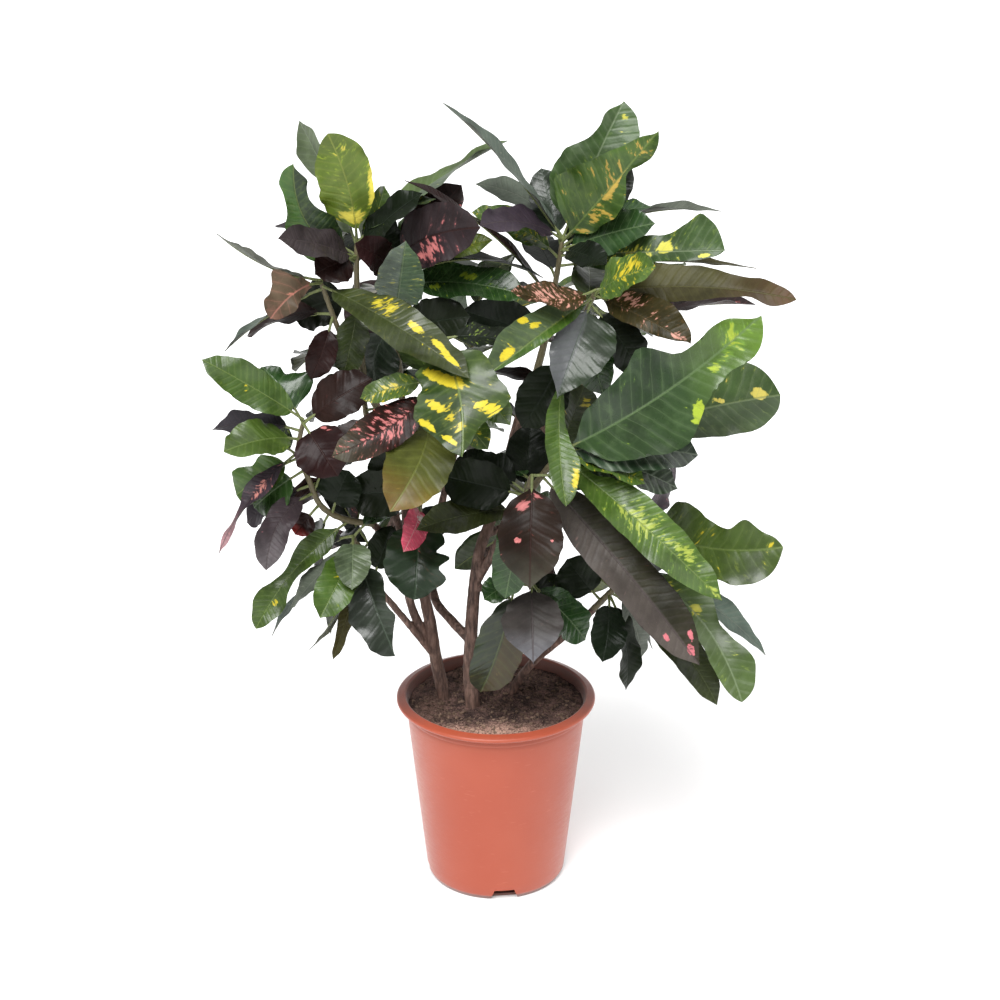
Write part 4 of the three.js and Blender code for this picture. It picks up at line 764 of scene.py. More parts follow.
def blade_tube(leaf, look, speckle, blotches, grid, detail, seed):
    """The blade as one closed skin, with what its material reads at every point"""
    steps, lanes = grid
    length = np.linalg.norm(leaf["tip"] - leaf["base"])
    stalk = STALK_LENGTH / length
    stations = 0.5 - 0.5 * np.cos(np.pi * np.linspace(0, 1, steps + 1) ** STATION_CROWDING)
    centre, forward, left, normal = bezier(leaf, stalk + (1 - stalk) * stations)
    swell = leaf["wave"] * np.minimum(1, stations * WAVE_START) * np.minimum(1, (1 - stations) * WAVE_END)
    angle = 2 * np.pi * WAVES_PER_EDGE * stations + leaf["phase"]
    sides = [edge_of(leaf, detail, side, stations) for side in (0, 1)]
    lifts = [EDGE_LIFT * edge + swell * np.sin(angle + side * RIGHT_EDGE_LAG)
             for side, edge in enumerate(sides)]
    ripple = RIPPLE_SHARE * (leaf["width"] / 2) * np.sin(2 * np.pi * RIPPLES * stations + leaf["phase"] * 3)
    ripple = ripple * np.minimum(1, (1 - stations) * RIPPLE_END)

    lane = np.linspace(1, -1, lanes + 1)
    ring_across = np.concatenate([lane, lane[-2:0:-1]])
    ring_side = np.concatenate([np.ones(lanes + 1), -np.ones(lanes - 1)])
    ring_side[[0, lanes]] = 0
    over = np.abs(ring_across)
    width, lift = (np.where(ring_across >= 0, a[:, None], b[:, None]) for a, b in (sides, lifts))
    rise = lift * over ** LIFT_SHARPNESS + ripple[:, None] * over ** 4
    rise = rise + ring_side * (EDGE_THICKNESS + MIDRIB_THICKNESS * (1 - over ** 4))
    across = ring_across * width
    points = centre[:, None, :] + left[:, None, :] * across[..., None] + normal[:, None, :] * rise[..., None]

    _, vein, mark, _, roughness, band = LOOKS[look]
    shape = across.shape
    patch = blotched(blotches, stations, ring_across, ring_side)
    along_mm = (stations * length * (1 - stalk))[:, None] * np.ones(shape)
    pattern = float(np.clip(PATTERN_WIDTH / leaf["width"], *PATTERN_RANGE)) * MM
    return skin(
        points, DULL if look in DULL_LOOKS else GLOSSY, "strip",
        place=np.stack([along_mm * pattern, across * pattern, np.full(shape, seed)], axis=-1),
        base=blade_colour(look, detail, seed, stations, ring_across, ring_side),
        vein=linear(vein) * VEIN_DEPTH,
        mark=linear(detail.get("mark", mark)) * MARK_DEPTH,
        traits=np.stack([patch, np.full(shape, speckle), np.full(shape, roughness)], axis=-1),
        under=np.where(ring_side < 0, 1.0, 0.0),
        band=band,
    )


def round_tube(centres, across, up, radii, sides, colour, material=STALK):
    """A round tube through centres, with one colour"""
    angle = 2 * np.pi * np.arange(sides) / sides
    points = (centres[:, None, :]
              + across[:, None, :] * (radii[:, None] * np.cos(angle)[None, :])[..., None]
              + up[:, None, :] * (radii[:, None] * np.sin(angle)[None, :])[..., None])
    return skin(points, material, "disc", base=colour)


def stalk_tube(leaf):
    """The stalk and, under the blade, the midrib that it runs on in"""
    stalk = STALK_LENGTH / np.linalg.norm(leaf["tip"] - leaf["base"])
    midrib = stalk + (1 - stalk) * np.linspace(*MIDRIB_SPAN, MIDRIB_RINGS)
    along = np.concatenate([np.linspace(0, stalk, STALK_RINGS), midrib])
    centre, forward, left, normal = bezier(leaf, along)
    blade = np.clip((along - stalk) / (1 - stalk), 0, 1)
    midrib_radii = MIDRIB_RADIUS * (1 - blade) ** MIDRIB_TAPER + THINNEST_EDGE
    radii = np.where(along < stalk, STALK_FOOT_RADIUS - STALK_THINNING * along / stalk, midrib_radii)
    centre = centre - normal * (radii * MIDRIB_DROP * np.clip(blade * MIDRIB_DROP_START, 0, 1))[:, None]
    return round_tube(centre, left, normal, radii, STALK_SIDES, linear(STALK_GREEN))


def stem_tube(curve, foot_radius, end_radius, colour, rings=STEM_RINGS, sides=STEM_SIDES, material=STALK):
    """A tapered stem with slight swellings where old leaves stood, and a rounded end"""
    along = np.linspace(0, 1, rings + 1)
    centres = np.array([curve.at(share) for share in along])
    forward = np.array([curve.tangent(share) for share in along])
    across = unit(np.cross(np.array([0.0, -1.0, 0.0]), forward))
    up = np.cross(forward, across)
    radii = foot_radius + (end_radius - foot_radius) * along
    run = np.concatenate([[0], np.cumsum(np.linalg.norm(np.diff(centres, axis=0), axis=1))])
    scars = np.maximum(0, np.sin(run / SCAR_SPACING + foot_radius * SCAR_SHIFT))
    radii = radii + SCAR_HEIGHT * scars ** SCAR_SHARPNESS
    end = np.clip((1 - along) * rings / END_RINGS, 0, 1)
    radii = radii * np.sqrt(np.clip(1 - (1 - end) ** 2, END_LEAST, 1))
    return round_tube(centres, across, up, radii, sides, colour, material)


def quads_of(tube, offset):
    """The four-sided faces round a tube and over its two ends, and their rows and columns in its layout"""
    rings, count = tube["points"].shape[:2]
    ring, side = np.meshgrid(np.arange(rings - 1), np.arange(count), indexing="ij")
    following = (side + 1) % count
    faces = np.stack([ring * count + side, ring * count + following,
                      (ring + 1) * count + following, (ring + 1) * count + side], axis=-1).reshape(-1, 4)
    columns = np.stack([side, side + 1, side + 1, side], axis=-1).reshape(-1, 4)
    rows = np.stack([ring, ring, ring + 1, ring + 1], axis=-1).reshape(-1, 4)
    strip = tube["cap"] == "strip"
    first = np.arange(count // 2 if strip else count // 2 - 1)
    fourth = (count if strip else count - 1) - first
    corners = np.stack([first, first + 1, (fourth - 1) % count, fourth % count], axis=-1)
    corners = corners[[len(set(corner)) == 4 for corner in corners.tolist()]]
    faces = np.vstack([faces, corners[:, ::-1], corners + (rings - 1) * count])
    columns = np.vstack([columns, corners[:, ::-1], corners])
    rows = np.vstack([rows, np.zeros_like(corners), np.full_like(corners, rings - 1)])
    return faces + offset, rows, columns


def shelves(sizes):
    """Places for rectangles on rising shelves of a square, and the square's side"""
    order = np.argsort([-height for _, height in sizes])
    side = math.sqrt(sum(width * height for width, height in sizes)) * BAKE_SPARE
    side = max(side, max(width for width, _ in sizes))
    places = [None] * len(sizes)
    x = y = shelf = 0.0
    for index in order:
        width, height = sizes[index]
        if x + width > side:
            y += shelf
            x = shelf = 0.0
        places[index] = (x, y)
        x += width
        shelf = max(shelf, height)
    return places, max(side, y + shelf)


def placed(name, data):
    """An object of its own in the scene"""
    thing = bpy.data.objects.new(name, data)
    bpy.context.scene.collection.objects.link(thing)
    return thing


def mesh_of(name, tubes, materials):
    """One mesh object from closed tubes, with what their materials read and an even layout for baking"""
    faces, rows, columns, indices, sizes = [], [], [], [], []
    offset = 0
    gap = BAKE_GAP * MM
    for tube in tubes:
        points = tube["points"]
        quads, row, column = quads_of(tube, offset)
        faces.append(quads)
        rows.append(row)
        columns.append(column)
        indices.append(np.full(len(quads), tube["material"]))
        offset += points.shape[0] * points.shape[1]
        run = np.linalg.norm(np.diff(points[:, 0], axis=0), axis=1).sum()
        girth = np.linalg.norm(np.diff(points, axis=1), axis=2).sum(axis=1).max()
        sizes.append((run + 2 * gap, girth + 2 * gap))
    quads = np.vstack(faces)
    mesh = bpy.data.meshes.new(name)
    mesh.vertices.add(offset)
    mesh.loops.add(quads.size)
    mesh.polygons.add(len(quads))
    points = np.vstack([tube["points"].reshape(-1, 3) for tube in tubes])
    mesh.vertices.foreach_set("co", points.astype(np.float32).ravel())
    mesh.loops.foreach_set("vertex_index", quads.astype(np.int32).ravel())
    for field, values in (("loop_start", np.arange(0, quads.size, 4)), ("loop_total", np.full(len(quads), 4)),
                          ("material_index", np.concatenate(indices)), ("use_smooth", np.ones(len(quads)))):
        mesh.polygons.foreach_set(field, values.astype(bool if field == "use_smooth" else np.int32))
    for names, kind, field, size in ((READ_VECTORS, "FLOAT_VECTOR", "vector", 3),
                                     (READ_NUMBERS, "FLOAT", "value", 1)):
        for attribute in names:
            values = np.vstack([tube[attribute].reshape(-1, size) for tube in tubes]).astype(np.float32)
            mesh.attributes.new("leaf_" + attribute, kind, "POINT").data.foreach_set(field, values.ravel())
    places, side = shelves(sizes)
    layout = []
    for tube, (x, y), (width, height), row, column in zip(tubes, places, sizes, rows, columns):
        rings, count = tube["points"].shape[:2]
        u = (x + gap + (width - 2 * gap) * row / (rings - 1)) / side
        v = (y + gap + (height - 2 * gap) * column / count) / side
        layout.append(np.stack([u, v], axis=-1).reshape(-1, 2))
    mesh.uv_layers.new(name="OFBake").data.foreach_set("uv", np.vstack(layout).astype(np.float32).ravel())
    for material in materials:
        mesh.materials.append(material)
    mesh.update()
    mesh.validate()
    mesh.set_sharp_from_angle(angle=LEAF_CREASE)
    return placed(name, mesh)


class Value:
    """An output of a material's node, with which further nodes are written as arithmetic"""

    def __init__(self, graph, socket):
        self.graph = graph
        self.socket = socket

    def __add__(self, other):
        return self.graph.math("ADD", self, other)

    def __sub__(self, other):
        return self.graph.math("SUBTRACT", self, other)

    def __rsub__(self, other):
        return self.graph.math("SUBTRACT", other, self)

    def __mul__(self, other):
        return self.graph.math("MULTIPLY", self, other)

    def ramp(self, span, to=(0.0, 1.0), smooth=True):
        """The value taken from one span to another, and kept within it"""
        kind = "SMOOTHSTEP" if smooth else "LINEAR"
        return self.graph.node("MapRange", enumerate((self, *span, *to)), interpolation_type=kind)


class Graph:
    """A material, built up by short calls for its nodes"""

    def __init__(self, name):
        self.material = bpy.data.materials.new(name)
        self.material.use_nodes = True
        self.tree = self.material.node_tree
        self.tree.nodes.clear()
        output = self.tree.nodes.new("ShaderNodeOutputMaterial")
        self.shader = self.tree.nodes.new("ShaderNodeBsdfPrincipled")
        self.tree.links.new(self.shader.outputs[0], output.inputs[0])

    def put(self, socket, value):
        if isinstance(value, Value):
            self.tree.links.new(value.socket, socket)
        else:
            socket.default_value = value

    def node(self, kind, inputs=(), output=0, **settings):
        node = self.tree.nodes.new("ShaderNode" + kind)
        for name, value in settings.items():
            setattr(node, name, value)
        for key, value in inputs:
            self.put(node.inputs[key], value)
        return Value(self, node.outputs[output])

    def finished(self, sockets):
        for name, value in sockets.items():
            self.put(self.shader.inputs[name], value)
        return self.material

    def attribute(self, name, output="Vector"):
        return self.node("Attribute", output=output, attribute_name=name)

    def coordinates(self):
        return self.node("TexCoord", output="Object")

    def math(self, operation, *values):
        return self.node("Math", enumerate(values), operation=operation)

    def join(self, x, y, z):
        return self.node("CombineXYZ", enumerate((x, y, z)))

    def split(self, vector):
        first = self.node("SeparateXYZ", [(0, vector)])
        return [Value(self, socket) for socket in first.socket.node.outputs]

    def noise(self, vector, scale, detail=3.0, roughness=0.55):
        return self.node("TexNoise", (("Vector", vector), ("Scale", scale), ("Detail", detail),
                                      ("Roughness", roughness)))

    def cells(self, vector, scale, output="Distance"):
        return self.node("TexVoronoi", (("Vector", vector), ("Scale", scale)), output)

    def mix(self, share, under, over, blend="MIX"):
        return self.node("Mix", ((0, share), (6, under), (7, over)), 2, data_type="RGBA", blend_type=blend)

    def shaded(self, colour, shade):
        return self.mix(1.0, colour, self.join(shade, shade, shade), "MULTIPLY")

    def layers(self, colour, *layers):
        """The colour under layers, each with its share and its own colour"""
        for share, over in layers:
            colour = self.mix(share, colour, over)
        return colour

    def bump(self, height, distance):
        return self.node("Bump", (("Height", height), ("Distance", distance), ("Strength", 1.0)))


def blade_material(name, shine):
    """Croton leaf: side veins, a light midrib, and blotches and speckles that lie between the veins"""
    g = Graph(name)
    place = g.attribute("leaf_place")
    along, across, seed = g.split(place)
    patch, speckle, roughness = g.split(g.attribute("leaf_traits"))
    band, under = g.attribute("leaf_band", "Fac"), g.attribute("leaf_under", "Fac")
    base, vein = g.attribute("leaf_base", "Color"), g.attribute("leaf_vein", "Color")
    out = g.math("ABSOLUTE", across)
    warp = (g.noise(place, 40, detail=2) - 0.5) * 0.006
    right_side = g.math("GREATER_THAN", across, 0.0)
    slanted = along - out * VEIN_SLANT + warp + right_side * (VEIN_SPACING * VEIN_OFFSET)
    from_vein = g.math("PINGPONG", slanted, VEIN_SPACING / 2)
    side_vein = from_vein.ramp((0.0001, 0.0008), (1, 0))
    side_band = from_vein.ramp((0, 0.0035), (1, 0))
    midrib = out.ramp((0.0004, 0.0014), (1, 0))

    # Blotches are stretched along the side veins, and speckles are smaller
    streaks = g.join(slanted * 150, out * 70, seed + g.math("SIGN", across) * 3.7)
    level = patch.ramp((0.15, 1), (0, 0.34), smooth=False) + speckle * 0.23
    fine = g.noise(streaks, 2.4, detail=2, roughness=0.5)
    chance = g.noise(streaks, 1) * 0.66 + fine * 0.34 + level
    mark = g.shaded(g.attribute("leaf_mark", "Color"), chance.ramp((0.70, 0.86), (0.66, 1.08), smooth=False))
    bright = g.mix(1.0, base, (3.2, 3.2, 3.2, 1), "MULTIPLY")
    around = g.mix(0.4, bright, g.mix(1.0, mark, mark, "MULTIPLY"))

    cloud = g.noise(place, 26, detail=4)
    wash = g.noise(place, 58)
    grain = g.noise(place, 900, detail=2)
    colour = g.layers(
        g.shaded(base, cloud.ramp((0.25, 0.75), (0.54, 1.46), smooth=False)),
        (wash.ramp((0.5, 0.7)) * 0.2, vein),
        # Pale patchy bands along the side veins: real vein colour on most looks, painted sheen on the gloss
        # look
        (side_band * cloud.ramp((0.35, 0.65), (0.3, 1.5)) * band, vein),
        (chance.ramp((0.62, 0.715)) * 0.55, around),
        (chance.ramp((0.705, 0.735)), mark),
        (side_vein * 0.16, vein),
        (midrib * 0.6, vein))

    quilt = from_vein.ramp((0, 0.0032)) * cloud.ramp((0.35, 0.7), (0.2, 1))
    swell = g.noise(place, 30, detail=1)
    pucker = g.noise(place, 95, detail=2)
    height = quilt * 0.55 + midrib * -0.5 + swell * 5.5 + pucker * 0.5 + grain * 0.05
    return g.finished({
        "Base Color": g.shaded(colour, grain.ramp((0.2, 0.8), (0.92, 1.08), smooth=False)),
        "Roughness": roughness + under * 0.12 + (cloud - 0.5) * 0.2 + side_vein * 0.05,
        "Specular IOR Level": shine,
        "Normal": g.bump(height * (1.0 - under * 2), 0.0006)})


def stalk_material():
    """Young stems and stalks: green to brown, with fine streaks along them"""
    g = Graph("leaf_stalk")
    x, y, z = g.split(g.coordinates())
    streaks = g.noise(g.join(x * 3, y * 3, z), 110, detail=4)
    shade = streaks.ramp((0.25, 0.75), (0.65, 1.35), smooth=False)
    return g.finished({
        "Base Color": g.shaded(g.attribute("leaf_base", "Color"), shade),
        "Roughness": streaks.ramp((0.2, 0.8), (0.45, 0.65)),
        "Normal": g.bump(streaks, 0.0004)})


def bark_material():
    """Smooth brown bark with paler streaks, dark scars and fine cracks"""
    g = Graph("bark")
    place = g.coordinates()
    x, y, z = g.split(place)
    streaks = g.noise(g.join(x, y, z * 0.22), 260, detail=5, roughness=0.6)
    patches = g.noise(place, 34)
    rings = g.noise(g.join(x * 0.25, y * 0.25, z), 240)
    colour = g.layers(
        paint(66, 50, 44),
        (streaks.ramp((0.35, 0.7)), paint(128, 100, 88)),
        (patches.ramp((0.45, 0.65)) * 0.6, paint(84, 60, 49)),
        (rings.ramp((0.6, 0.72)) * 0.4, paint(56, 42, 37)))
    return g.finished({
        "Base Color": colour,
        "Roughness": streaks.ramp((0.3, 0.7), (0.85, 0.65)),
        "Normal": g.bump(streaks * 0.4 + rings * 0.5, 0.0009)})


def soil_material():
    """Peat mix: dark brown, paler and drier in patches, and pale and chippy at the front"""
    g = Graph("soil_mix")
    place = g.coordinates()
    x, y, z = g.split(place)
    clumps = g.noise(place, 60, detail=6, roughness=0.65)
    grains = g.cells(place, 420)
    dry = g.noise(place, 18, detail=2)
    shade = g.split(g.cells(place, 560, "Color"))[0]
    front = y.ramp((-0.05, -0.085)) * clumps.ramp((0.3, 0.6), (0.35, 1))
    colour = g.layers(
        paint(60, 46, 44),
        (clumps.ramp((0.35, 0.7)), paint(126, 98, 90)),
        (dry.ramp((0.5, 0.66)) * 0.3, paint(120, 94, 80)),
        (front * 0.9, paint(216, 170, 152)),
        (grains.ramp((0.1, 0.4), (1, 0)) * 0.3, paint(30, 24, 22)),
        (shade.ramp((0.6, 0.9)) * (front * 0.7 + 0.05), paint(214, 180, 158)),
        (shade.ramp((0.35, 0.1)) * 0.6, paint(46, 33, 30)))
    return g.finished({
        "Base Color": colour,
        "Roughness": 0.95,
        "Specular IOR Level": 0.2,
        "Normal": g.bump(clumps + (grains + shade), 0.0022)})


def crumb_material():
    """Loose crumbs on the soil, each of its own shade"""
    g = Graph("soil_crumb")
    rough = g.noise(g.coordinates(), 500, detail=4)
    colour = g.layers(
        paint(44, 33, 28),
        (g.attribute("crumb_shade", "Fac").ramp((0, 1), smooth=False), paint(196, 164, 142)),
        (rough.ramp((0.3, 0.7), (0, 0.5)), paint(60, 45, 40)))
    return g.finished({
        "Base Color": colour,
        "Roughness": 0.95,
        "Specular IOR Level": 0.2,
        "Normal": g.bump(rough, 0.0008)})


def pot_material():
    """Terracotta-coloured moulded plastic: satin, faintly uneven and scuffed, with painted shade on the inner
    wall and on the rim's top at the sides and back
    """
    g = Graph("pot_plastic")
    place = g.coordinates()
    x, y, z = g.split(place)
    cloud = g.noise(place, 9)
    drawn = g.noise(g.join(x, y, z * 6), 60)
    foot = (CHAMFER_RADIUS - WALL_SLOPE * CHAMFER_HEIGHT) * MM
    from_wall = g.math("SQRT", x * x + y * y) - (z * WALL_SLOPE + foot)
    # Painted shade: the inner wall, and the top of the rim away from the front, are darkened where the
    # foliage shades them
    inside = from_wall.ramp((-0.0006, -0.0016))
    rim_top_shade = z.ramp((0.2355, 0.238)) * y.ramp((-0.1, -0.02))
    painted_shade = g.math("MAXIMUM", inside * 0.97, rim_top_shade * 0.62) * drawn.ramp((0.2, 0.6), (0.85, 1))
    colour = g.layers(
        paint(158, 68, 43),
        (cloud.ramp((0.3, 0.7)), paint(163, 74, 49)),
        (drawn.ramp((0.62, 0.75)) * 0.12, paint(210, 140, 120)),
        (painted_shade, paint(116, 80, 72)))
    return g.finished({
        "Base Color": colour,
        "Roughness": drawn.ramp((0.3, 0.7), (0.36, 0.46)),
        "Specular IOR Level": 0.5,
        "Sheen Weight": 0.2,
        "Sheen Roughness": 0.4,
        "Normal": g.bump(g.noise(place, 1400, detail=2), 0.00012)})


def floor_material():
    return Graph("studio_floor").finished({
        "Base Color": (0.85, 0.85, 0.85, 1),
        "Emission Color": (1, 1, 1, 1),
        "Emission Strength": 0.15,
        "Roughness": 0.9,
        "Specular IOR Level": 0.1})


def applied(piece):
    """The piece with its modifiers applied to its mesh"""
    graph = bpy.context.evaluated_depsgraph_get()
    mesh = bpy.data.meshes.new_from_object(piece.evaluated_get(graph))
    piece.modifiers.clear()
    old = piece.data
    piece.data = mesh
    bpy.data.meshes.remove(old)
    mesh.name = piece.name


def plain_object(name, points, faces, materials=()):
    """An object from points in metres and faces, with all its faces turned outwards"""
    mesh = bpy.data.meshes.new(name)
    mesh.from_pydata([tuple(p) for p in points], [], faces)
    body = bmesh.new()
    body.from_mesh(mesh)
    bmesh.ops.recalc_face_normals(body, faces=body.faces)
    body.to_mesh(mesh)
    body.free()
    for material in materials:
        mesh.materials.append(material)
    mesh.update()
    return placed(name, mesh)


def circle(radius, segments):
    """Even places round a circle"""
    angles = 2 * np.pi * np.arange(segments) / segments
    return [(radius * math.cos(angle), radius * math.sin(angle)) for angle in angles]


def ring_faces(rings, segments, start, foot, top):
    """Faces between rings of points that begin at start, with a fan to the point foot and one to top"""
    faces = []
    after = [(segment + 1) % segments for segment in range(segments)]
    for ring in range(rings - 1):
        low = start + ring * segments
        high = low + segments
        faces += [(low + a, low + b, high + b, high + a) for a, b in enumerate(after)]
    last = start + (rings - 1) * segments
    for a, b in enumerate(after):
        faces += [(foot, start + b, start + a), (top, last + a, last + b)]
    return faces


def wall(height):
    """The pot's outer radius at a height of its wall"""
    return CHAMFER_RADIUS + WALL_SLOPE * (height - CHAMFER_HEIGHT)


def notch_cutter():
    """One body that cuts all the drainage notches, each wider at the foot"""
    half_top, half_foot = NOTCH_WIDTH_TOP / 2 * MM, NOTCH_WIDTH_FOOT / 2 * MM
    flare = half_foot + (half_foot - half_top)
    high = NOTCH_HEIGHT * MM
    section = [(-flare, -high), (flare, -high), (half_top, high), (-half_top, high)]
    depths = (CHAMFER_RADIUS - NOTCH_DEPTH) * MM, (CHAMFER_RADIUS + NOTCH_DEPTH) * MM
    corners = [(x, -depth, z) for depth in depths for x, z in section]
    box = [(0, 1, 2, 3), (7, 6, 5, 4), (0, 4, 5, 1), (1, 5, 6, 2), (2, 6, 7, 3), (3, 7, 4, 0)]
    points, faces = [], []
    for count in range(NOTCH_COUNT):
        angle = NOTCH_TURN + count * 2 * math.pi / NOTCH_COUNT
        cos, sin = math.cos(angle), math.sin(angle)
        faces += [tuple(i + len(points) for i in face) for face in box]
        points += [(x * cos - y * sin, x * sin + y * cos, z) for x, y, z in corners]
    return plain_object("cutter", points, faces)


def make_pot():
    """The pot: a smooth wall, a rolled lip with a small bead under it, and drainage notches at the foot"""
    profile = [(FOOT_RADIUS - 0.8, 0), (FOOT_RADIUS, 0.5),
               (CHAMFER_RADIUS - 0.4, CHAMFER_HEIGHT - 0.8), (CHAMFER_RADIUS, CHAMFER_HEIGHT + 0.4)]
    profile += [(wall(z), z) for z in range(20, 216, 15)]
    profile += [(wall(z) + bulge, z) for z, bulge in BEAD]
    profile += [(wall(LIP_FOOT), LIP_FOOT), (wall(230) + 0.6, 230.2), (wall(231) + 2.2, 231.4)]
    profile += [(RIM_RADIUS - inset, LIP_BOTTOM + rise) for inset, rise in LIP]
    profile += [(RIM_RADIUS - 9.4, POT_HEIGHT), (NECK_RADIUS + 0.2, POT_HEIGHT - 0.6),
                (NECK_RADIUS - 1.0, POT_HEIGHT - 2.4)]
    profile += [(wall(z) - POT_WALL, z) for z in (LIP_FOOT, 200, 120, 40)]
    profile += [(CHAMFER_RADIUS - POT_WALL, CHAMFER_HEIGHT + POT_WALL / 2),
                (FOOT_RADIUS - POT_WALL, POT_FLOOR)]
    points = [(0, 0, 0), (0, 0, POT_FLOOR * MM)]
    for radius, height in profile:
        points += [(x * MM, y * MM, height * MM) for x, y in circle(radius, POT_SEGMENTS)]
    faces = ring_faces(len(profile), POT_SEGMENTS, 2, 0, 1)
    piece = plain_object("nursery_pot", points, faces, [pot_material()])
    for polygon in piece.data.polygons:
        polygon.use_smooth = True
    cutter = notch_cutter()
    cut = piece.modifiers.new("notches", "BOOLEAN")
    cut.operation = "DIFFERENCE"
    cut.solver = "EXACT"
    cut.object = cutter
    applied(piece)
    bpy.data.objects.remove(cutter)
    piece.data.set_sharp_from_angle(angle=POT_CREASE)
    return piece


def trunk_places():
    """Where each trunk comes out of the soil, and its radius there"""
    places = []
    for limbs in WOODY_STEMS.values():
        trunk, foot_radius, _ = limbs[0]
        curve = Curve(trunk)
        near = min((curve.at(share) for share in np.linspace(0, 0.5, 60)), key=lambda p: abs(p[2] - SOIL_TOP))
        places.append((near[0], near[1], foot_radius))
    return places


def crumb_shape():
    """Points and triangles of a body with twenty sides, which each crumb takes in its own proportions"""
    radius, height = CRUMB_BELT
    points = [(0, 0, 1)]
    for first, z in ((0, height), (0.5, -height)):
        turns = [2 * math.pi * (first + k) / 5 for k in range(5)]
        points += [(radius * math.cos(turn), radius * math.sin(turn), z) for turn in turns]
    points.append((0, 0, -1))
    upper = [(k + 1, (k + 1) % 5 + 1) for k in range(5)]
    lower = [(a + 5, b + 5) for a, b in upper]
    triangles = [(0, a, b) for a, b in upper]
    triangles += [(a, c, b) for (a, b), (c, d) in zip(upper, lower)]
    triangles += [(b, c, d) for (a, b), (c, d) in zip(upper, lower)]
    triangles += [(11, d, c) for c, d in lower]
    return np.round(points, 3), triangles


def make_soil():
    """Soil with a lumpy top that rises a little round the trunks, and loose crumbs on it"""
    edge = wall(SOIL_TOP) - POT_WALL - SOIL_GAP
    trunks = trunk_places()

    def top(x, y):
        height = SOIL_TOP + SOIL_CROWN * (1 - (math.hypot(x, y) / edge) ** 2)
        for size, fineness, layer in SOIL_LUMPS:
            height += size * noise.noise(Vector((x, y, layer)) * fineness)
        for tx, ty, tr in trunks:
            height += TRUNK_MOUND * math.exp(-((math.hypot(x - tx, y - ty) - tr) / TRUNK_MOUND_WIDTH) ** 2)
        return height

    points = [(0, 0, SOIL_FLOOR * MM)]
    foot = circle(CHAMFER_RADIUS - POT_WALL - 1, SOIL_SEGMENTS)
    points += [(x * MM, y * MM, (SOIL_FLOOR + 0.2) * MM) for x, y in foot]
    for share in np.linspace(1, 0.02, SOIL_RINGS):
        points += [(x * MM, y * MM, top(x, y) * MM) for x, y in circle(edge * share, SOIL_SEGMENTS)]
    points.append((0, 0, top(0, 0) * MM))
    faces = ring_faces(SOIL_RINGS + 1, SOIL_SEGMENTS, 1, 0, len(points) - 1)

    bare, triangles = crumb_shape()
    shades = [0.0] * len(points)
    soil_faces = len(faces)
    for _ in range(CRUMB_COUNT):
        turn = rng.uniform(0, 2 * math.pi)
        radius = (edge - CRUMB_MARGIN) * math.sqrt(rng.uniform())
        x, y = radius * math.cos(turn), radius * math.sin(turn)
        size = CRUMB_SMALLEST + CRUMB_RANGE * rng.uniform() ** 4
        stretch = size * rng.uniform(*CRUMB_STRETCH)
        spin = rng.uniform(0, 2 * math.pi)
        local = bare * (1 + rng.uniform(-CRUMB_ROUGHNESS, CRUMB_ROUGHNESS, (12, 1))) * stretch
        cos, sin = math.cos(spin), math.sin(spin)
        local = local @ np.array([[cos, sin, 0], [-sin, cos, 0], [0, 0, 1]])
        if any(math.hypot(x - tx, y - ty) < tr + size * CRUMB_CLEAR for tx, ty, tr in trunks):
            continue
        faces += [tuple(i + len(points) for i in triangle) for triangle in triangles]
        centre = np.array([x, y, top(x, y) + size * CRUMB_RAISED])
        points += [tuple((centre + corner) * MM) for corner in local]
        front = np.clip(0.5 - y / (2 * edge), 0, 1)
        shade = rng.uniform(0, CRUMB_SHADES) + CRUMB_PALE * front ** CRUMB_PALE_POWER * rng.uniform(0.3, 1)
        shades += [float(np.clip(shade, 0, 1))] * len(bare)
    piece = plain_object("potting_soil", points, faces, [soil_material(), crumb_material()])
    piece.data.attributes.new("crumb_shade", "FLOAT", "POINT").data.foreach_set("value", shades)
    for index, polygon in enumerate(piece.data.polygons):
        polygon.use_smooth = index < soil_faces
        polygon.material_index = int(index >= soil_faces)
    return piece


def read_points(mesh, field="co"):
    values = np.empty(len(mesh.vertices) * 3, np.float32)
    mesh.vertices.foreach_get(field, values)
    return values.reshape(-1, 3)


def make_woody_stem(name, material):
    """A trunk and its limbs grown together in one skin"""
    tubes = []
    for places, foot_radius, end_radius in WOODY_STEMS[name]:
        rings = BARK_RINGS + BARK_RINGS_PER_PLACE * len(places)
        tubes.append(stem_tube(Curve(places), foot_radius, end_radius, np.zeros(3), rings, BARK_SIDES, 0))
    piece = mesh_of(name + "_bark", tubes, [material])
    piece.data.uv_layers.remove(piece.data.uv_layers["OFBake"])
    remesh = piece.modifiers.new("grown_together", "REMESH")
    remesh.mode = "VOXEL"
    remesh.voxel_size = BARK_VOXEL * MM
    remesh.use_smooth_shade = True
    smooth = piece.modifiers.new("smooth", "SMOOTH")
    smooth.factor = BARK_SMOOTHING
    smooth.iterations = BARK_SMOOTHINGS
    applied(piece)
    mesh = piece.data
    places, normals = read_points(mesh), read_points(mesh, "normal")
    bumps = np.array([sum(size * noise.noise(Vector((x * across, y * across, z * along)))
                          for size, across, along in BARK_BUMPS) for x, y, z in places])
    places = places + normals * bumps[:, None] * (BARK_RELIEF * MM)
    mesh.vertices.foreach_set("co", places.astype(np.float32).ravel())
    mesh.materials.clear()
    mesh.materials.append(material)
    mesh.update()
    return piece


def fitted_leaf(shape, steps, points):
    """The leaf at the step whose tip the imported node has, or None if the node left that leaf out"""
    best, least = None, TIP_MATCH
    for step in range(len(steps)):
        leaf = shape(step)
        gap = np.min(np.linalg.norm(points - leaf["tip"], axis=1))
        if gap < least:
            best, least = leaf, gap
    return best


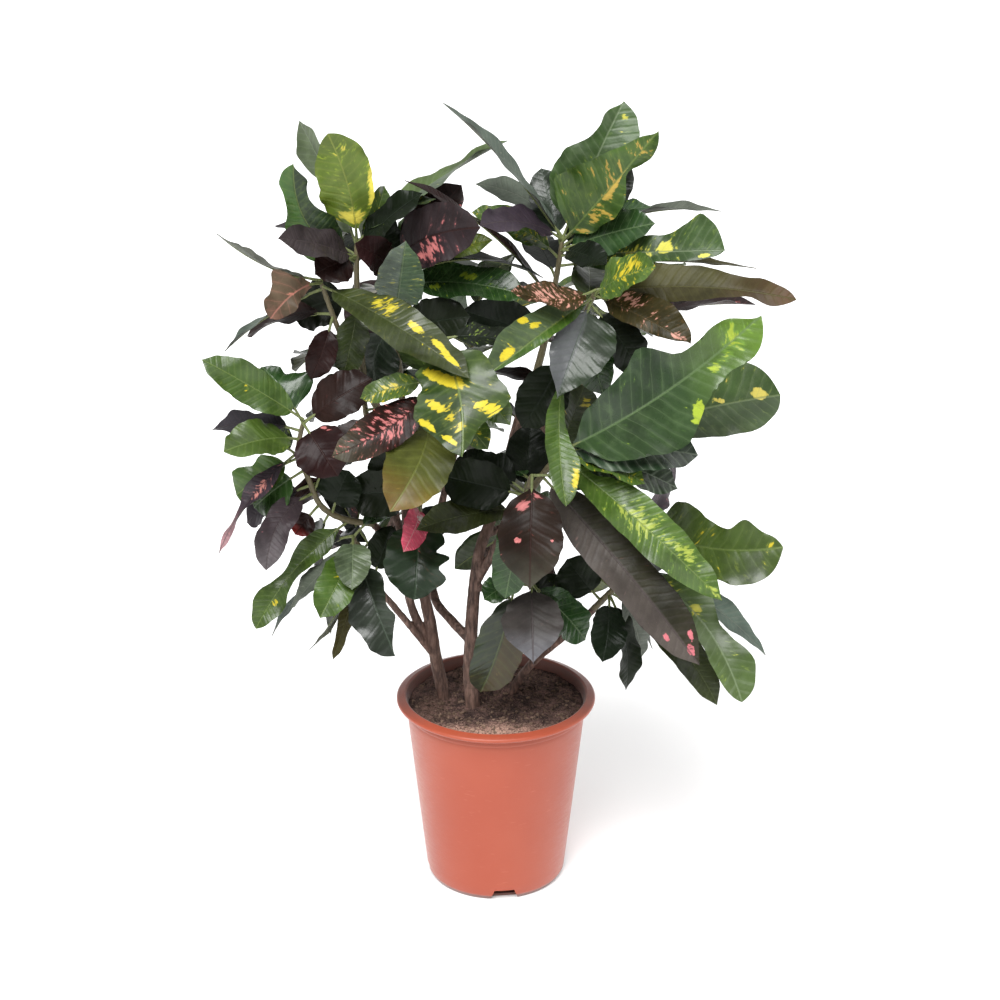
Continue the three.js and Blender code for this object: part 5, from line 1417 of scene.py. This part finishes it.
def make_leafy_stem(stem, materials):
    """A leafy stem: its young wood, and each leaf with its stalk"""
    name = LEAFY_STEM + stem
    places, foot_radius, end_radius = LEAFY_STEMS[stem]
    curve = Curve(places)
    points = read_points(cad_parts[name].data).astype(float) / MM
    tubes = [stem_tube(curve, foot_radius, end_radius, linear(STEM_BROWN))]
    for number, row in enumerate(FRONT_LEAVES.get(stem, [])):
        leaf = fitted_leaf(lambda step: front_leaf(curve, row, number, step), DEPTH_STEPS, points)
        if leaf:
            look, speckle, blotches = row[10:] + PLAIN_LEAF[len(row) - 11:]
            detail = DETAILS.get((stem, number), {})
            seed = rng.uniform(0, SEED_RANGE)
            tubes += [blade_tube(leaf, look, speckle, blotches, FRONT_GRID, detail, seed), stalk_tube(leaf)]
    row = BACK_LEAVES[stem]
    for number in range(row[0]):
        look = str(rng.choice(list(BACK_LOOKS), p=list(BACK_LOOKS.values())))
        speckle = rng.choice(list(BACK_SPECKLES), p=list(BACK_SPECKLES.values()))
        seed = rng.uniform(0, SEED_RANGE)
        leaf = fitted_leaf(lambda step: back_leaf(curve, row, number, step), TURN_STEPS, points)
        if leaf:
            blotches = BACK_BLOTCHES[int(seed * len(BACK_BLOTCHES)) % len(BACK_BLOTCHES)]
            tubes += [blade_tube(leaf, look, speckle, blotches, BACK_GRID, {}, seed), stalk_tube(leaf)]
    return mesh_of(name + "_leaves", tubes, materials)


def make_floor():
    half = FLOOR_HALF * MM
    corners = [(-half, -half, 0), (half, -half, 0), (half, half, 0), (-half, half, 0)]
    plain_object("studio_floor", corners, [(0, 1, 2, 3)], [floor_material()])


def make_camera():
    data = bpy.data.cameras.new("camera")
    data.sensor_width = SENSOR_WIDTH
    data.lens = SENSOR_WIDTH * FOCAL_PIXELS / IMAGE_SIDE
    data.shift_x = (IMAGE_SIDE / 2 - AXIS_PIXEL[0]) / IMAGE_SIDE
    data.shift_y = (AXIS_PIXEL[1] - IMAGE_SIDE / 2) / IMAGE_SIDE
    data.clip_end = CAMERA_REACH * MM
    camera = placed("camera", data)
    camera.location = (0, -CAMERA_BACK * MM, CAMERA_HEIGHT * MM)
    camera.rotation_euler = (math.pi / 2 - CAMERA_PITCH, 0, 0)
    bpy.context.scene.camera = camera


def make_studio():
    """A white surround, a soft key from the front and slightly left, and a weaker light from behind"""
    world = bpy.data.worlds.new("studio")
    world.use_nodes = True
    tree = world.node_tree
    surround = tree.nodes["Background"]
    surround.inputs[0].default_value = (1, 1, 1, 1)
    direction = tree.nodes.new("ShaderNodeTexCoord")
    height = tree.nodes.new("ShaderNodeSeparateXYZ")
    brightness = tree.nodes.new("ShaderNodeValToRGB")
    tree.links.new(direction.outputs["Generated"], height.inputs[0])
    tree.links.new(height.outputs["Z"], brightness.inputs["Fac"])
    steps = brightness.color_ramp.elements
    while len(steps) < len(SURROUND):
        steps.new(0.5)
    for step, (place, grey) in zip(steps, SURROUND):
        step.position = place
        step.color = (grey, grey, grey, 1)
    tree.links.new(brightness.outputs["Color"], surround.inputs["Strength"])
    bpy.context.scene.world = world
    bpy.context.scene.view_settings.view_transform = "Standard"
    for name, (towards, spread, power) in SUNS.items():
        data = bpy.data.lights.new(name, "SUN")
        data.angle = math.radians(spread)
        data.energy = power
        sun = placed(name, data)
        sun.location = towards
        sun.rotation_euler = Vector(towards).to_track_quat("Z", "Y").to_euler()


def dress(node, piece):
    """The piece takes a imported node's place on the part's one body"""
    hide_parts(node)
    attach(piece, "root")


def main():
    make_camera()
    make_studio()
    make_floor()
    glossy, dull = (blade_material(name, shine) for name, shine in SHINES.items())
    stalk, bark = stalk_material(), bark_material()
    dress("pot", make_pot())
    dress("soil", make_soil())
    for name in WOODY_STEMS:
        dress(name, make_woody_stem(name, bark))
    for stem in LEAFY_STEMS:
        dress(LEAFY_STEM + stem, make_leafy_stem(stem, [glossy, stalk, dull]))


main()
